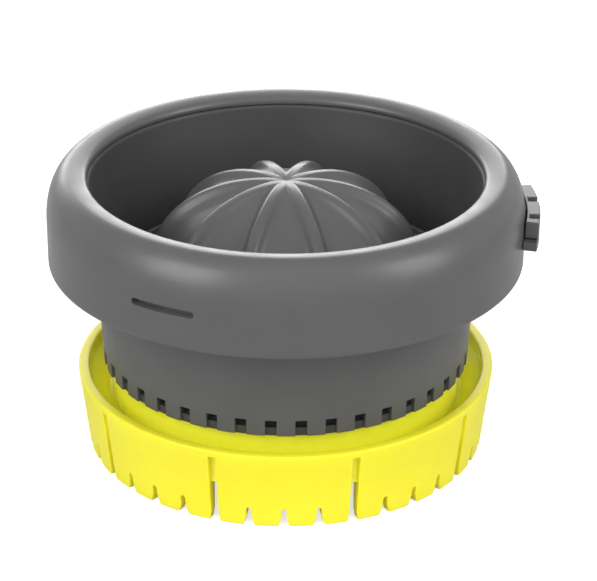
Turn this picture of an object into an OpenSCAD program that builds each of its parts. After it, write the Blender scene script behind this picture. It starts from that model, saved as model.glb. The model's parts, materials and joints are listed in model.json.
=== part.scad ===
// Compact electric juicer head on its jug ring.
// Millimetres, +Z up, origin on the axis at the foot of the base ring, front towards -Y.

/* [Base ring] */
// Height of the ring
ring_h = 22; // [20:0.5:30]
// Radius of the socket that drops over a jug's mouth
jug_mouth_r = 52; // [46:0.1:60]
// Thickness of the socket's wall at the foot
socket_wall = 2.5; // [2.2:0.1:3.4]
// Flare of the outer wall from foot to rim
ring_flare = 2.5; // [1.6:0.1:3]
// Depth of that socket
jug_mouth_depth = 11.6; // [9:0.1:13]
// Thickness of the gutter's floor
gutter_floor_t = 2; // [1.5:0.1:3]
// Fall of the gutter's floor towards the drains
gutter_fall = 0.4; // [0.2:0.1:1.2]
// Width of the rim's flat top with its two rounded edges
rim_band_w = 2.9; // [2:0.1:3.2]
// Rounding of the rim's edges
rim_round_r = 0.7; // [0.3:0.1:0.9]
// Lean of the gutter's outer wall
gutter_lean = 0.6; // [0.2:0.1:1]
// Height of the gutter's upright wall below the rim
gutter_wall_h = 2.7; // [2.2:0.1:4]
// Width of the gutter's floor at the foot of its slope
gutter_floor_w = 1.2; // [0.8:0.1:2]
// Setback of the seat wall behind the skirt's foot
seat_setback = 2.4; // [2.3:0.1:4]
// Thickness of the seat wall
seat_wall = 3.4; // [2.4:0.1:4]
// Height of the seat above the gutter's floor
seat_h = 10.4; // [9:0.1:12]
// Height of the locating lip above the seat
seat_lip_h = 1.1; // [0.8:0.1:1.6]
// Thickness of the locating lip
seat_lip_t = 1.2; // [0.8:0.1:1.6]
// Number of drain arches through the seat wall's back
arch_count = 6; // [2:1:8]
// Angle between two drain arches
arch_pitch = 30; // [20:1:40]
// Width of a drain arch
arch_w = 10; // [6:0.5:12]
// Height of a drain arch
arch_h = 3.6; // [2.5:0.1:5]
// Number of cuts in the outer wall, with one at the front
cut_count = 37; // [21:2:37]
// Angle between two cuts
cut_pitch = 9.6; // [8:0.1:9.7]
// Cuts from one long slit to the next, with short notches between
slit_every = 4; // [2:2:6]
// Width of a slit
slit_w = 2.1; // [0.8:0.1:2.6]
// Plain wall left above a slit
slit_top_margin = 2; // [1.5:0.1:4]
// Wall left behind a slit where it passes the gutter
groove_wall = 1.1; // [0.8:0.1:1.4]
// Width of a notch
notch_w = 1.3; // [0.8:0.05:1.8]
// Height of a notch
notch_h = 5.5; // [4:0.1:8]
// Width of the flared mouth of slits and notches
mouth_w = 3; // [2:0.1:4]
// Height of the flared mouth
mouth_h = 3; // [2:0.1:3.6]

/* [Bowl] */
// Width of the gutter outside the skirt's foot
gutter_gap = 3.5; // [2.6:0.1:4]
// Flare of the skirt from its foot to the collar
skirt_flare = 1.2; // [0.6:0.1:2]
// Height of the skirt
skirt_h = 29.4; // [28:0.1:34]
// Wall thickness of skirt and bowl
bowl_wall = 2.2; // [1.8:0.1:2.6]
// Height of the skirt's foot above the bowl's seat ring
skirt_foot_rise = 0.2; // [0.2:0.05:0.8]
// Flare of the bowl's inside from the skirt's top radius to its mouth
mouth_flare = 1.2; // [0.6:0.1:1.6]
// Number of drain windows
window_count = 40; // [24:1:48]
// Turn of the row of drain windows
window_turn = 0.5; // [0:0.1:9]
// Width of a drain window
window_w = 3; // [2.4:0.1:4]
// Height of a drain window's outer notch
window_h = 4.5; // [3.6:0.1:5]
// Height of the sill inside a drain window
window_sill_h = 2.1; // [1.8:0.1:2.6]
// Depth of the outer notch of a drain window
window_notch_d = 0.9; // [0.5:0.1:1.2]
// Rise of the bowl's floor from the windows to the middle
floor_rise = 6; // [4:0.5:7]
// Thickness of the bowl's floor
floor_t = 1.8; // [1.6:0.1:2.4]
// Height of the strainer's ledge above the skirt's foot
ledge_h = 20; // [18:0.5:21]
// Depth of the strainer's ledge
ledge_w = 1.8; // [1.4:0.1:2.4]
// Thickness of the flange under the collar
flange_t = 2; // [1.6:0.1:2.4]
// Recess of the flange above the collar's lower edge
flange_recess = 1.7; // [1.5:0.1:2.4]
// Inside width of the wire duct at the back
duct_w = 5; // [4:0.5:7]
// Inside depth of the wire duct
duct_d = 3.4; // [3:0.1:4]
// Wall of the wire duct
duct_wall = 1.4; // [1:0.1:1.8]

/* [Collar] */
// Height of the collar with its rim
collar_h = 24.7; // [23:0.1:27]
// Width of the rolled outer edge
roll_w = 6.5; // [6:0.1:8]
// Height of the rolled outer edge
roll_h = 12; // [10:0.1:12.6]
// Width of the flat top between the roll and the opening's edge
rim_flat_w = 2.9; // [2.4:0.1:3.6]
// Wall thickness of the collar
collar_wall = 2.4; // [2:0.1:2.6]
// Setback of the opening's edge behind the bowl's mouth
mouth_lap = 0.4; // [0.2:0.1:0.8]
// Rounding of the opening's edge
lip_round_r = 1.8; // [0.8:0.1:2.2]
// Height of the collar's inner lip
lip_h = 2.8; // [2.4:0.1:3]
// Thickness of the hook that holds the bowl's mouth
hook_t = 1.4; // [1:0.1:1.6]
// Number of collar screws
collar_screw_count = 6; // [4:1:6]
// Direction of the first collar screw
collar_screw_az = 45; // [40:1:50]
// Direction of the status light's slot
slot_az = -118.5; // [-125:0.5:-112]
// Length of the slot along the wall
slot_len = 18; // [12:0.5:20]
// Height of the slot
slot_h = 1.9; // [1.4:0.1:2.4]
// Height of the slot's middle above the collar's lower edge
slot_rise = 10; // [8:0.1:11]
// Depth of the lens face below the collar's surface
lens_recess = 1.6; // [1.2:0.1:1.9]
// Thickness of the flange behind the lens
lens_flange_t = 1.4; // [1:0.1:1.8]
// Width of that flange past each end of the slot
lens_lip = 1.5; // [1:0.1:2]
// Width of the indicator board
indicator_w = 16; // [14:0.5:18]
// Distance of the indicator board behind the collar's wall
indicator_setback = 4.3; // [3.8:0.1:4.6]
// Number of lamps on the indicator board
led_count = 4; // [2:1:4]
// Spacing of the lamps
led_pitch = 3.8; // [3:0.1:4.2]

/* [Power slider] */
// Direction of the slider's middle
slider_az = 0.9; // [0:0.1:6]
// Stand of the slider out of the collar
slider_proud = 3.9; // [3:0.1:5]
// Length of the slider
slider_len = 27.4; // [26:0.1:32]
// Height of the slider's ribs
slider_h = 4.7; // [4:0.1:5.5]
// Length of the narrow rib at the near end
rib_end_len = 2.8; // [2:0.1:3.4]
// Length of the gap behind each of the three ribs
rib_gap = 2.6; // [2:0.05:3.4]
// Depth of the gaps between ribs
rib_depth = 2.6; // [1.5:0.1:3]
// Thickness of the web behind the gaps
rib_web_t = 0.8; // [0.6:0.1:1.2]
// Length of the stem along the wall
stem_len = 8; // [6:0.5:9]
// Height of the stem
stem_h = 3; // [2.4:0.1:3.4]
// Reach of the stem behind the collar's wall
stem_reach = 4.4; // [4:0.1:4.8]
// Thickness of the clip on the stem
clip_t = 1.4; // [1:0.1:1.6]
// Overhang of the clip above and below the stem
clip_lip = 1.6; // [1.4:0.1:2]
// Overhang of the clip past each end of the stem
clip_grip = 3; // [2:0.1:3.4]
// Height of the fixed rail under the slider
rail_h = 2.4; // [2:0.1:3]
// Height of the rail's foot above the collar's lower edge
rail_rise = 7.2; // [6:0.1:7.6]
// Length of the rail past each end of the slider
rail_over = 2.1; // [2:0.1:3]
// Travel of the slider to each side along the wall
slider_travel = 2; // [1:0.1:2]
// Width of the switch body
switch_w = 18; // [16:0.5:20]
// Depth of the switch body
switch_d = 4.6; // [4:0.1:4.7]

/* [Reamer and strainer] */
// Radius of the reamer's base
reamer_r = 35.5; // [34:0.5:37]
// Height of the reamer
reamer_h = 27; // [26:0.5:32]
// Wall thickness of the reamer
reamer_wall = 2.4; // [2:0.1:2.8]
// Number of ribs on the reamer
reamer_ribs = 10; // [6:1:12]
// Thickness of a reamer rib
reamer_rib_t = 2.6; // [2:0.1:3.4]
// Height of a reamer rib above the dome
reamer_rib_h = 2.8; // [1.5:0.1:3.4]
// Gap between reamer and strainer
reamer_gap = 1.1; // [0.8:0.1:2]
// Thickness of the strainer's plate
strainer_t = 1.6; // [1.2:0.1:2]
// Height of the strainer's two edge rings above the ledge
strainer_ring_h = 3; // [2.4:0.1:3.6]
// Width of the strainer's edge rings
strainer_ring_w = 1.5; // [1.2:0.1:2]
// Number of strainer slots
strainer_slots = 72; // [36:4:80]
// Width of a strainer slot
strainer_slot_w = 1.3; // [0.8:0.1:1.6]
// Plain plate inside the slots
strainer_margin = 0.8; // [0.6:0.1:1.6]

/* [Drive] */
// Outer radius of the motor housing
housing_r = 29.5; // [27:0.1:32]
// Wall of the motor housing
housing_wall = 2.2; // [1.8:0.1:2.4]
// Height of the motor housing's open end below the bowl's seat ring
housing_drop = 3; // [2:0.5:3.5]
// Spindle journal radius
spindle_r = 4; // [3.5:0.1:4.5]
// Width across the flats of the spindle's hexagon
hex_af = 6.6; // [6:0.1:6.8]
// Length of the hexagon
hex_len = 11; // [8:0.5:13]
// Gear module
gear_module = 0.75; // [0.7:0.01:0.78]
// Teeth of the sun pinion
sun_teeth = 15; // [12:3:18]
// Teeth of a planet gear
planet_teeth = 18; // [12:6:18]
// Face width of the gears
gear_w = 5; // [4:0.5:6]
// Thickness of the planet carrier
carrier_t = 2.4; // [2:0.1:3]
// Radius of a planet pin
planet_pin_r = 2; // [1.5:0.1:2.2]
// Length of the top bush
bush_l = 4; // [3:0.5:6]
// Outer radius of the top bush and shaft seal
bush_r = 7; // [6.5:0.1:8]
// Height of the shaft seal
seal_h = 2; // [1.5:0.1:2.5]
// Thickness of the thrust washer
washer_t = 0.6; // [0.4:0.1:1]
// Thickness of the gearbox plate
plate_t = 2; // [1.6:0.1:3]
// Motor shaft radius
shaft_r = 1.5; // [1.2:0.1:2]
// Space between motor can and housing, for the board
can_space = 6.9; // [6:0.1:7.4]
// Height of the motor can
can_h = 11; // [10:0.5:12]
// Wall of the motor can
can_wall = 1.6; // [1.2:0.1:1.8]
// Length of a stator pole
pole_len = 3.45; // [3:0.05:4]
// Gap at each end of the rotor
rotor_end_gap = 1.2; // [1:0.1:1.6]
// Gap at each end of the stator
stator_end_gap = 1.6; // [1.2:0.1:2]
// Thickness of the stator's yoke
yoke_t = 1.8; // [1.4:0.1:2.4]
// Width of a stator pole
pole_w = 5; // [4:0.1:6]
// Thickness of a winding
coil_t = 1; // [0.6:0.1:1.4]
// Number of stator poles
pole_count = 6; // [6:1:9]
// Outer radius of the two shaft bearings
bearing_r = 4.5; // [4:0.1:5]
// Thickness of the motor cover
cover_t = 2.4; // [2:0.1:2.8]
// Thickness of the cover's gasket
gasket_t = 0.9; // [0.6:0.1:1.2]
// Width of the flange that seats the housing under the bowl's floor
housing_flange_w = 1.6; // [1:0.1:2]
// Thickness of that flange
housing_flange_t = 2; // [1.5:0.1:2.5]
// Thickness of the circuit boards
board_t = 1.2; // [0.8:0.1:1.6]

/* [Power inlet] */
// Direction of the inlet
inlet_az = 90; // [86:1:94]
// Bore of the inlet socket
inlet_bore_r = 2.9; // [2.5:0.1:3.2]
// Outer radius of the inlet body
inlet_r = 4.4; // [4:0.1:4.8]
// Radius of the inlet's flange
inlet_flange_r = 6.2; // [5.8:0.1:6.6]
// Thickness of that flange
inlet_flange_t = 0.7; // [0.5:0.1:0.9]
// Depth of the inlet's seat in the collar
inlet_recess = 1; // [0.8:0.1:1.2]
// Reach of the inlet behind the collar's wall
inlet_reach = 6; // [5:0.1:6.4]
// Radius of the inlet's contact pin
inlet_pin_r = 0.9; // [0.6:0.1:1.2]
// Thickness of the inlet's nut
nut_t = 2; // [1.5:0.1:2.5]
// Radius of a wire
wire_r = 1.1; // [0.8:0.1:1.2]

/* [Clearances] */
// Gap under a part that rests on another
seat_gap = 0.05; // [0.03:0.01:0.1]
// Radial gap of a running fit
run_gap = 0.05; // [0.02:0.01:0.08]
// Gap round a part that drops in or slides
loose_gap = 0.3; // [0.25:0.05:0.4]
// Gap round a part that is fixed in its hole
snug_gap = 0.05; // [0.02:0.01:0.1]
// Axial gap between turning and fixed parts
axial_gap = 0.5; // [0.4:0.05:0.6]
// Share of the tooth width given to backlash
backlash = 0.08; // [0.06:0.01:0.12]

/* [Hidden] */
$fn = 128;
// Overlap that makes cuts and unions clean
bite = 0.2;
// Reach of a cut past the wall that it goes through
cut_over = 1;

// Colours
yellow = [0.95, 0.90, 0.25];
grey = [0.40, 0.40, 0.41];
dark = [0.20, 0.20, 0.21];
steel = [0.72, 0.73, 0.75];
brass = [0.78, 0.62, 0.30];
copper = [0.80, 0.45, 0.25];
board_green = [0.10, 0.35, 0.20];
smoke = [0.25, 0.25, 0.27];
nylon = [0.85, 0.85, 0.82];
acetal = [0.75, 0.75, 0.72];
lamp_white = [0.9, 0.9, 0.85];

// Heights, from the foot upwards
gutter_z = jug_mouth_depth + gutter_floor_t;
seat_z = gutter_z + seat_h;
bowl_z = seat_z + seat_gap;
skirt_z = bowl_z + skirt_foot_rise;
sill_z = skirt_z + window_sill_h;
ledge_z = skirt_z + ledge_h;
collar_z = skirt_z + skirt_h;
flange_z = collar_z + flange_recess;
flange_top_z = flange_z + flange_t;
rim_z = collar_z + collar_h;
roll_z = rim_z - roll_h;
bowl_mouth_z = rim_z - lip_h - seat_gap;

// Heights of the drive, from the housing's open end upwards
housing_z = bowl_z - housing_drop;
can_z = housing_z + axial_gap;
plate_z = can_z + can_h + seat_gap;
gear_z = plate_z + plate_t + axial_gap;
carrier_z = gear_z + gear_w + axial_gap;
shoulder_z = gear_z + gear_w + seat_gap;
washer_z = carrier_z + carrier_t;
bush_z = washer_z + washer_t + run_gap;
seal_z = bush_z + bush_l;
housing_top_z = seal_z + seal_h;
hex_z = housing_top_z + axial_gap;
reamer_z = ledge_z + strainer_ring_h;

// Radii that follow from the driving sizes
ring_foot_r = jug_mouth_r + socket_wall;
ring_rim_r = ring_foot_r + ring_flare;
rim_in_r = ring_rim_r - rim_band_w;
gutter_out_r = rim_in_r - gutter_lean;
skirt_foot_r = gutter_out_r - gutter_gap;
skirt_top_r = skirt_foot_r + skirt_flare;
seat_r = skirt_foot_r - seat_setback;
seat_in_r = seat_r - seat_wall;
lip_out_r = seat_in_r + seat_lip_t;
bowl_mouth_r = skirt_top_r + mouth_flare;
opening_r = bowl_mouth_r + mouth_lap;
roll_c = opening_r + lip_round_r + rim_flat_w;
collar_r = roll_c + roll_w;
collar_in_r = collar_r - collar_wall;
screw_r = 1.1;
head_r = 1.9;
head_h = 1.4;
screw_hold = 3;
boss_r = 2.4;
boss_cap = 1;
boss_c = collar_in_r - boss_r + bite;
housing_in_r = housing_r - housing_wall;
planet_count = 3;
ring_teeth = sun_teeth + 2 * planet_teeth;
sun_pitch_r = gear_module * sun_teeth / 2;
planet_pitch_r = gear_module * planet_teeth / 2;
ring_pitch_r = gear_module * ring_teeth / 2;
planet_c = sun_pitch_r + planet_pitch_r;
pressure_angle = 20;
addendum = 0.8 * gear_module;
dedendum = 1.05 * gear_module;
carrier_rim = 3;
carrier_r = planet_c + planet_pin_r + carrier_rim;
gear_case_gap = 1;
gear_case_r = ring_pitch_r + dedendum + gear_case_gap;
ring_gear_r = housing_in_r - snug_gap;
gearbox_screw_c = (gear_case_r + ring_gear_r) / 2;
cover_boss_c = housing_in_r - boss_r + 2 * bite;
cover_boss_az = 30;
gearbox_screw_az = 60;
board_z = can_z + can_h / 2;
cover_z = housing_z - gasket_t - seat_gap - cover_t;
gasket_inset = 0.2;
can_r = housing_in_r - can_space;
stator_r = can_r - can_wall - snug_gap;
stator_z = can_z + can_wall + stator_end_gap;
stator_h = can_h - can_wall - 2 * stator_end_gap;
yoke_r = stator_r - yoke_t;
pole_x = yoke_r - pole_len;
rotor_r = pole_x - axial_gap;
pole_az = 30;
coil_r = pole_x + axial_gap;
chip_count = 5;
chip_az = 18;
chip_l = 3;
chip_w = 4;
chip_h = 1.4;
reamer_skirt_h = 2;
reamer_hub_r = 7;
reamer_rise = reamer_h - reamer_skirt_h;
strainer_in_r = reamer_r + reamer_gap;
strainer_r = skirt_in(ledge_z) - loose_gap;
slot_z = collar_z + slot_rise;
rail_z = collar_z + rail_rise;
slider_z = rail_z + rail_h + loose_gap;
slider_r = collar_r + slider_proud;
stem_z = slider_z + slider_h / 2;
switch_gap = 1.5;
led_size = 1.6;
led_h = 0.9;
indicator_rise = 3;
inlet_z = flange_top_z + inlet_flange_r + loose_gap;
inlet_seat_y = collar_r - inlet_recess;
inlet_end_t = 1.2;
inlet_pin_recess = 2;
wire_stand = 0.6;
wire_ring_r = skirt_top_r + bowl_wall + wire_r + wire_stand;
wire_z = flange_top_z + wire_r + snug_gap;
duct_in_y = skirt_top_r - bite;
duct_y = duct_in_y + duct_d - wire_r - loose_gap;
duct_out_w = duct_w + 2 * duct_wall;
spoke_rise = 8.2;
spoke_z = housing_z + spoke_rise;
spoke_h = 3.2;
duct_lead_top = 0.2;
duct_lead_in = 2;
inlet_lead_a = 12;
switch_lead_a = 14;

// Angle that an arc length spans at a radius
function span(len, r) = len / r * 180 / PI;

// Points on an ellipse about c, with half axes w and h, from angle a to angle b
function oval(c, w, h, a, b, n = 10) =
    [for (i = [0:n]) let (t = a + (b - a) * i / n) [c[0] + w * cos(t), c[1] + h * sin(t)]];

// Points on an arc about c from angle a to angle b
function arc(c, r, a, b, n = 10) = oval(c, r, r, a, b, n);

// Outer and inner radius of the skirt at a height
function skirt_out(z) = skirt_foot_r + (skirt_top_r - skirt_foot_r) * (z - skirt_z) / skirt_h;
function skirt_in(z) = skirt_out(z) - bowl_wall;

// Inner radius of the bowl at a height above the skirt
function bowl_in(z) =
    let (foot_r = skirt_in(collar_z))
    foot_r + (bowl_mouth_r - foot_r) * (z - collar_z) / (bowl_mouth_z - collar_z);

// Half angle of an involute tooth at radius r; slack thins it, and a negative slack widens it
function involute(a) = tan(a) * 180 / PI - a;
function tooth_half(r, teeth, slack) =
    let (base = gear_module * teeth / 2 * cos(pressure_angle))
    90 / teeth * (1 - slack) + involute(pressure_angle) - involute(acos(base / max(r, base)));

// Outline of a gear, with a tooth on +X
function gear_outline(teeth, root, tip, slack, steps = 4) =
    [for (k = [0:teeth - 1]) for (side = [-1, 1]) for (i = [0:steps])
        let (f = side < 0 ? i / steps : 1 - i / steps)
        let (r = root + (tip - root) * f)
        let (a = 360 * k / teeth + side * tooth_half(r, teeth, slack))
        [r * cos(a), r * sin(a)]];

// Points of the reamer's dome, grown outwards by rib in the middle of its height
function dome(r, h, rib = 0, n = 12) =
    [for (i = [0:n]) let (t = 90 * i / n)
        [r * pow(cos(t), 1.1) + rib * sin(2 * t) * cos(t), h * sin(t) + rib * sin(2 * t) * sin(t)]];

module ring(r_out, r_in, h) {
    difference() {
        cylinder(r = r_out, h = h);
        translate([0, 0, -bite]) cylinder(r = r_in, h = h + 2 * bite);
    }
}

// Wedge of a ring, centred on azimuth az
module ring_wedge(r_in, r_out, h, az, angle) {
    rotate([0, 0, az - angle / 2])
        rotate_extrude(angle = angle)
            translate([r_in, 0]) square([r_out - r_in, h]);
}

// Places children at count even steps round the axis
module around(count, first = 0) {
    for (i = [0:count - 1]) rotate([0, 0, first + 360 * i / count]) children();
}

// Screw with its head at the bottom, point upwards
module screw(len) {
    cylinder(r = head_r, h = head_h);
    cylinder(r = screw_r, h = head_h + len);
}

// Cut through the base ring's outer wall on +X: a slot of width w up to height h, with a flared mouth
module wall_cut(w, h, r_in) {
    outline = [
        [-mouth_w / 2, -bite], [mouth_w / 2, -bite], [mouth_w / 2, 0], [w / 2, mouth_h],
        [w / 2, h], [-w / 2, h], [-w / 2, mouth_h], [-mouth_w / 2, 0]
    ];
    translate([r_in, 0, 0])
        rotate([90, 0, 90]) linear_extrude(ring_rim_r) polygon(outline);
}

// Long slit on +X: through the socket's wall, and a groove in the gutter's wall above it
module long_slit() {
    groove_z = jug_mouth_depth - bite;
    difference() {
        wall_cut(slit_w, ring_h - slit_top_margin, jug_mouth_r - bite);
        translate([0, -mouth_w, groove_z])
            cube([gutter_out_r + groove_wall, 2 * mouth_w, ring_h - groove_z]);
    }
}

module base_ring() {
    front = -90;
    back = 90;
    last_cut = (cut_count - 1) / 2;
    slope_foot_r = seat_r + gutter_floor_w;
    profile = concat(
        [[jug_mouth_r, 0], [ring_foot_r, 0]],
        arc([ring_rim_r - rim_round_r, ring_h - rim_round_r], rim_round_r, 0, 90, 5),
        arc([rim_in_r + rim_round_r, ring_h - rim_round_r], rim_round_r, 90, 180, 5),
        [[gutter_out_r, ring_h - gutter_wall_h], [slope_foot_r, gutter_z + gutter_fall]],
        [[seat_r, gutter_z], [seat_r, seat_z], [lip_out_r, seat_z]],
        [[lip_out_r, seat_z + seat_lip_h], [seat_in_r, seat_z + seat_lip_h]],
        [[seat_in_r, jug_mouth_depth], [jug_mouth_r, jug_mouth_depth]]
    );
    color(yellow)
    difference() {
        rotate_extrude() polygon(profile);
        for (k = [-last_cut:last_cut])
            rotate([0, 0, front + cut_pitch * k])
                if (abs(k) % slit_every == slit_every / 2) long_slit();
                else wall_cut(notch_w, notch_h, jug_mouth_r - bite);
        for (i = [0:arch_count - 1])
            rotate([0, 0, back + arch_pitch * (i - (arch_count - 1) / 2)])
                translate([seat_in_r - bite, -arch_w / 2, gutter_z - bite])
                    cube([seat_wall + 2 * bite, arch_w, arch_h + bite]);
    }
}

// Space of one drain window on +X: a shallow notch open at the foot, and a hole above the sill
module drain_window() {
    top_z = skirt_z + window_h;
    hole_in = skirt_in(skirt_z) - cut_over;
    translate([skirt_foot_r - window_notch_d, -window_w / 2, skirt_z - bite])
        cube([window_notch_d + cut_over, window_w, window_h + bite]);
    translate([hole_in, -window_w / 2, sill_z])
        cube([skirt_out(top_z) + bite - hole_in, window_w, top_z - sill_z]);
}

module bowl() {
    seat_out = skirt_in(skirt_z) + bite;
    floor_in_r = housing_r + snug_gap;
    wall = [
        [skirt_in(skirt_z), skirt_z], [skirt_foot_r, skirt_z], [skirt_top_r, collar_z],
        [skirt_top_r, flange_z], [collar_in_r - snug_gap, flange_z],
        [collar_in_r - snug_gap, flange_top_z], [bowl_in(flange_top_z) + bowl_wall, flange_top_z],
        [bowl_mouth_r + bowl_wall, bowl_mouth_z], [bowl_mouth_r, bowl_mouth_z],
        [skirt_in(collar_z), collar_z]
    ];
    floor_cone = [
        [floor_in_r, sill_z + floor_rise - floor_t], [seat_out, sill_z - floor_t], [seat_out, sill_z],
        [floor_in_r, sill_z + floor_rise]
    ];
    seat = [
        [lip_out_r + loose_gap, bowl_z], [seat_out, bowl_z], [seat_out, sill_z],
        [lip_out_r + loose_gap, sill_z]
    ];
    ledge_r = skirt_in(ledge_z);
    ledge = [
        [ledge_r + bite, ledge_z - 2 * ledge_w], [ledge_r + bite, ledge_z], [ledge_r - ledge_w, ledge_z]
    ];
    color(grey)
    difference() {
        union() {
            rotate_extrude() polygon(wall);
            rotate_extrude() polygon(floor_cone);
            rotate_extrude() polygon(seat);
            rotate_extrude() polygon(ledge);
            bowl_duct();
        }
        around(window_count, -90 + window_turn + 180 / window_count) drain_window();
        around(collar_screw_count, collar_screw_az)
            translate([boss_c, 0, flange_z - bite])
                cylinder(r = screw_r + snug_gap, h = flange_t + 2 * bite);
        duct_bore();
    }
}

// Outside of the wire duct: a rib down the skirt's back, and a spoke across the floor
module bowl_duct() {
    foot_z = spoke_z - duct_wall;
    spoke_top_z = spoke_z + spoke_h + duct_wall;
    in_y = skirt_in(collar_z) + bite;
    translate([-duct_out_w / 2, in_y, foot_z])
        cube([duct_out_w, duct_in_y + duct_d + duct_wall - in_y, flange_z + bite - foot_z]);
    intersection() {
        translate([-duct_out_w / 2, 0, sill_z]) cube([duct_out_w, skirt_foot_r, spoke_top_z - sill_z]);
        ring_tube(housing_r + snug_gap, skirt_foot_r - bite, sill_z, spoke_top_z);
    }
}

module ring_tube(r_in, r_out, z_a, z_b) {
    translate([0, 0, z_a]) ring(r_out, r_in, z_b - z_a);
}

// Inside of the wire duct, open into the collar and into the motor housing
module duct_bore() {
    spoke_in_y = housing_r - cut_over;
    translate([-duct_w / 2, duct_in_y, spoke_z])
        cube([duct_w, duct_d, flange_top_z + bite - spoke_z]);
    translate([-duct_w / 2, spoke_in_y, spoke_z])
        cube([duct_w, duct_in_y + duct_d - spoke_in_y, spoke_h]);
}

module rim_collar() {
    lip_z = rim_z - lip_h;
    hook_in_r = bowl_mouth_r + bowl_wall + loose_gap;
    hook_out_r = hook_in_r + hook_t;
    profile = concat(
        [[collar_in_r, collar_z], [collar_r, collar_z]],
        oval([roll_c, roll_z], roll_w, roll_h, 0, 90, 14),
        arc([opening_r + lip_round_r, rim_z - lip_round_r], lip_round_r, 90, 180, 6),
        [[opening_r, lip_z], [hook_in_r, lip_z], [hook_in_r, lip_z - lip_h], [hook_out_r, lip_z - lip_h]],
        [[hook_out_r, rim_z - collar_wall]],
        oval([roll_c, roll_z], roll_w - collar_wall, roll_h - collar_wall, 90, 0, 12)
    );
    color(grey)
    difference() {
        union() {
            rotate_extrude() polygon(profile);
            around(collar_screw_count, collar_screw_az)
                translate([boss_c, 0, flange_top_z + seat_gap])
                    cylinder(r = boss_r, h = roll_z - flange_top_z);
        }
        around(collar_screw_count, collar_screw_az)
            translate([boss_c, 0, flange_z])
                cylinder(r = screw_r + snug_gap, h = roll_z - flange_z - 2 * boss_cap);
        light_slot(collar_in_r - 2 * cut_over, collar_r + cut_over, slot_h, slot_len);
        slider_slot();
        rotate([0, 0, inlet_az]) translate([0, 0, inlet_z]) rotate([0, 90, 0]) {
            cylinder(r = inlet_r + snug_gap, h = collar_r + cut_over);
            translate([0, 0, inlet_seat_y])
                cylinder(r = inlet_flange_r + snug_gap, h = inlet_recess + cut_over);
        }
    }
}

// Round-ended slot on the light's azimuth, h high and len long, from radius r_in to r_out
module light_slot(r_in, r_out, h, len) {
    end = (len - h) / 2;
    outline = concat(arc([end, 0], h / 2, -90, 90), arc([-end, 0], h / 2, 90, 270));
    rotate([0, 0, slot_az])
        translate([r_in, 0, slot_z])
            rotate([90, 0, 90]) linear_extrude(r_out - r_in) polygon(outline);
}

// Slot in the collar for the slider's stem
module slider_slot() {
    angle = span(stem_len + 2 * slider_travel + 2 * loose_gap, collar_r);
    height = stem_h + 2 * loose_gap;
    translate([0, 0, stem_z - height / 2])
        ring_wedge(collar_in_r - cut_over, collar_r + cut_over, height, slider_az, angle);
}

module collar_screws() {
    color(steel)
    around(collar_screw_count, collar_screw_az)
        translate([boss_c, 0, flange_z - head_h - seat_gap]) screw(roll_z - flange_z - 3 * boss_cap);
}

module strainer() {
    base_z = ledge_z + seat_gap;
    plate_in = strainer_in_r + strainer_ring_w;
    plate_out = strainer_r - strainer_ring_w;
    slot_in = plate_in + strainer_margin;
    slot_out = plate_out - ledge_w;
    color(grey)
    translate([0, 0, base_z])
    difference() {
        ring(strainer_r, strainer_in_r, strainer_ring_h - seat_gap);
        translate([0, 0, strainer_t]) ring(plate_out, plate_in, strainer_ring_h);
        around(strainer_slots, 180 / strainer_slots)
            translate([slot_in, -strainer_slot_w / 2, -bite])
                cube([slot_out - slot_in, strainer_slot_w, strainer_t + 2 * bite]);
    }
}

module reamer() {
    inner_r = reamer_r - reamer_wall;
    outer = concat([[0, -reamer_skirt_h], [reamer_r, -reamer_skirt_h]], dome(reamer_r, reamer_rise));
    inner = concat(
        [[0, -reamer_skirt_h - bite], [inner_r, -reamer_skirt_h - bite]],
        dome(inner_r, reamer_rise - reamer_wall)
    );
    rib = concat([[0, 0]], dome(reamer_r, reamer_rise, reamer_rib_h));
    dome_z = reamer_z + reamer_skirt_h;
    hub_z = hex_z + axial_gap;
    socket_r = (hex_af / 2 + run_gap) / cos(30);
    color(grey)
    difference() {
        union() {
            translate([0, 0, dome_z])
            difference() {
                union() {
                    rotate_extrude() polygon(outer);
                    around(reamer_ribs)
                        rotate([90, 0, 0])
                            translate([0, 0, -reamer_rib_t / 2]) linear_extrude(reamer_rib_t) polygon(rib);
                }
                rotate_extrude() polygon(inner);
            }
            translate([0, 0, hub_z])
                cylinder(r = reamer_hub_r, h = dome_z + reamer_rise - reamer_wall - hub_z);
        }
        translate([0, 0, hub_z - bite]) cylinder(r = socket_r, h = hex_len + bite + axial_gap, $fn = 6);
    }
}

module spindle() {
    foot_z = carrier_z - axial_gap / 2;
    color(steel) {
        translate([0, 0, foot_z]) cylinder(r = spindle_r, h = hex_z - foot_z);
        translate([0, 0, hex_z - bite]) cylinder(r = hex_af / 2 / cos(30), h = hex_len + bite, $fn = 6);
    }
}

module shaft_seal() {
    color(dark) translate([0, 0, seal_z]) ring(bush_r, spindle_r + run_gap, seal_h);
}

module top_bush() {
    color(brass) translate([0, 0, bush_z]) ring(bush_r, spindle_r + run_gap, bush_l);
}

module thrust_washer() {
    color(brass) translate([0, 0, washer_z]) ring(bush_r - axial_gap, spindle_r + run_gap, washer_t);
}

module planet_carrier() {
    color(steel)
    translate([0, 0, carrier_z])
    difference() {
        ring(carrier_r, spindle_r + snug_gap, carrier_t);
        around(planet_count)
            translate([planet_c, 0, -bite])
                cylinder(r = planet_pin_r + snug_gap, h = carrier_t + 2 * bite);
    }
}

module planet_pins() {
    color(steel)
    around(planet_count)
        translate([planet_c, 0, gear_z]) cylinder(r = planet_pin_r, h = washer_z - gear_z);
}

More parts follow.
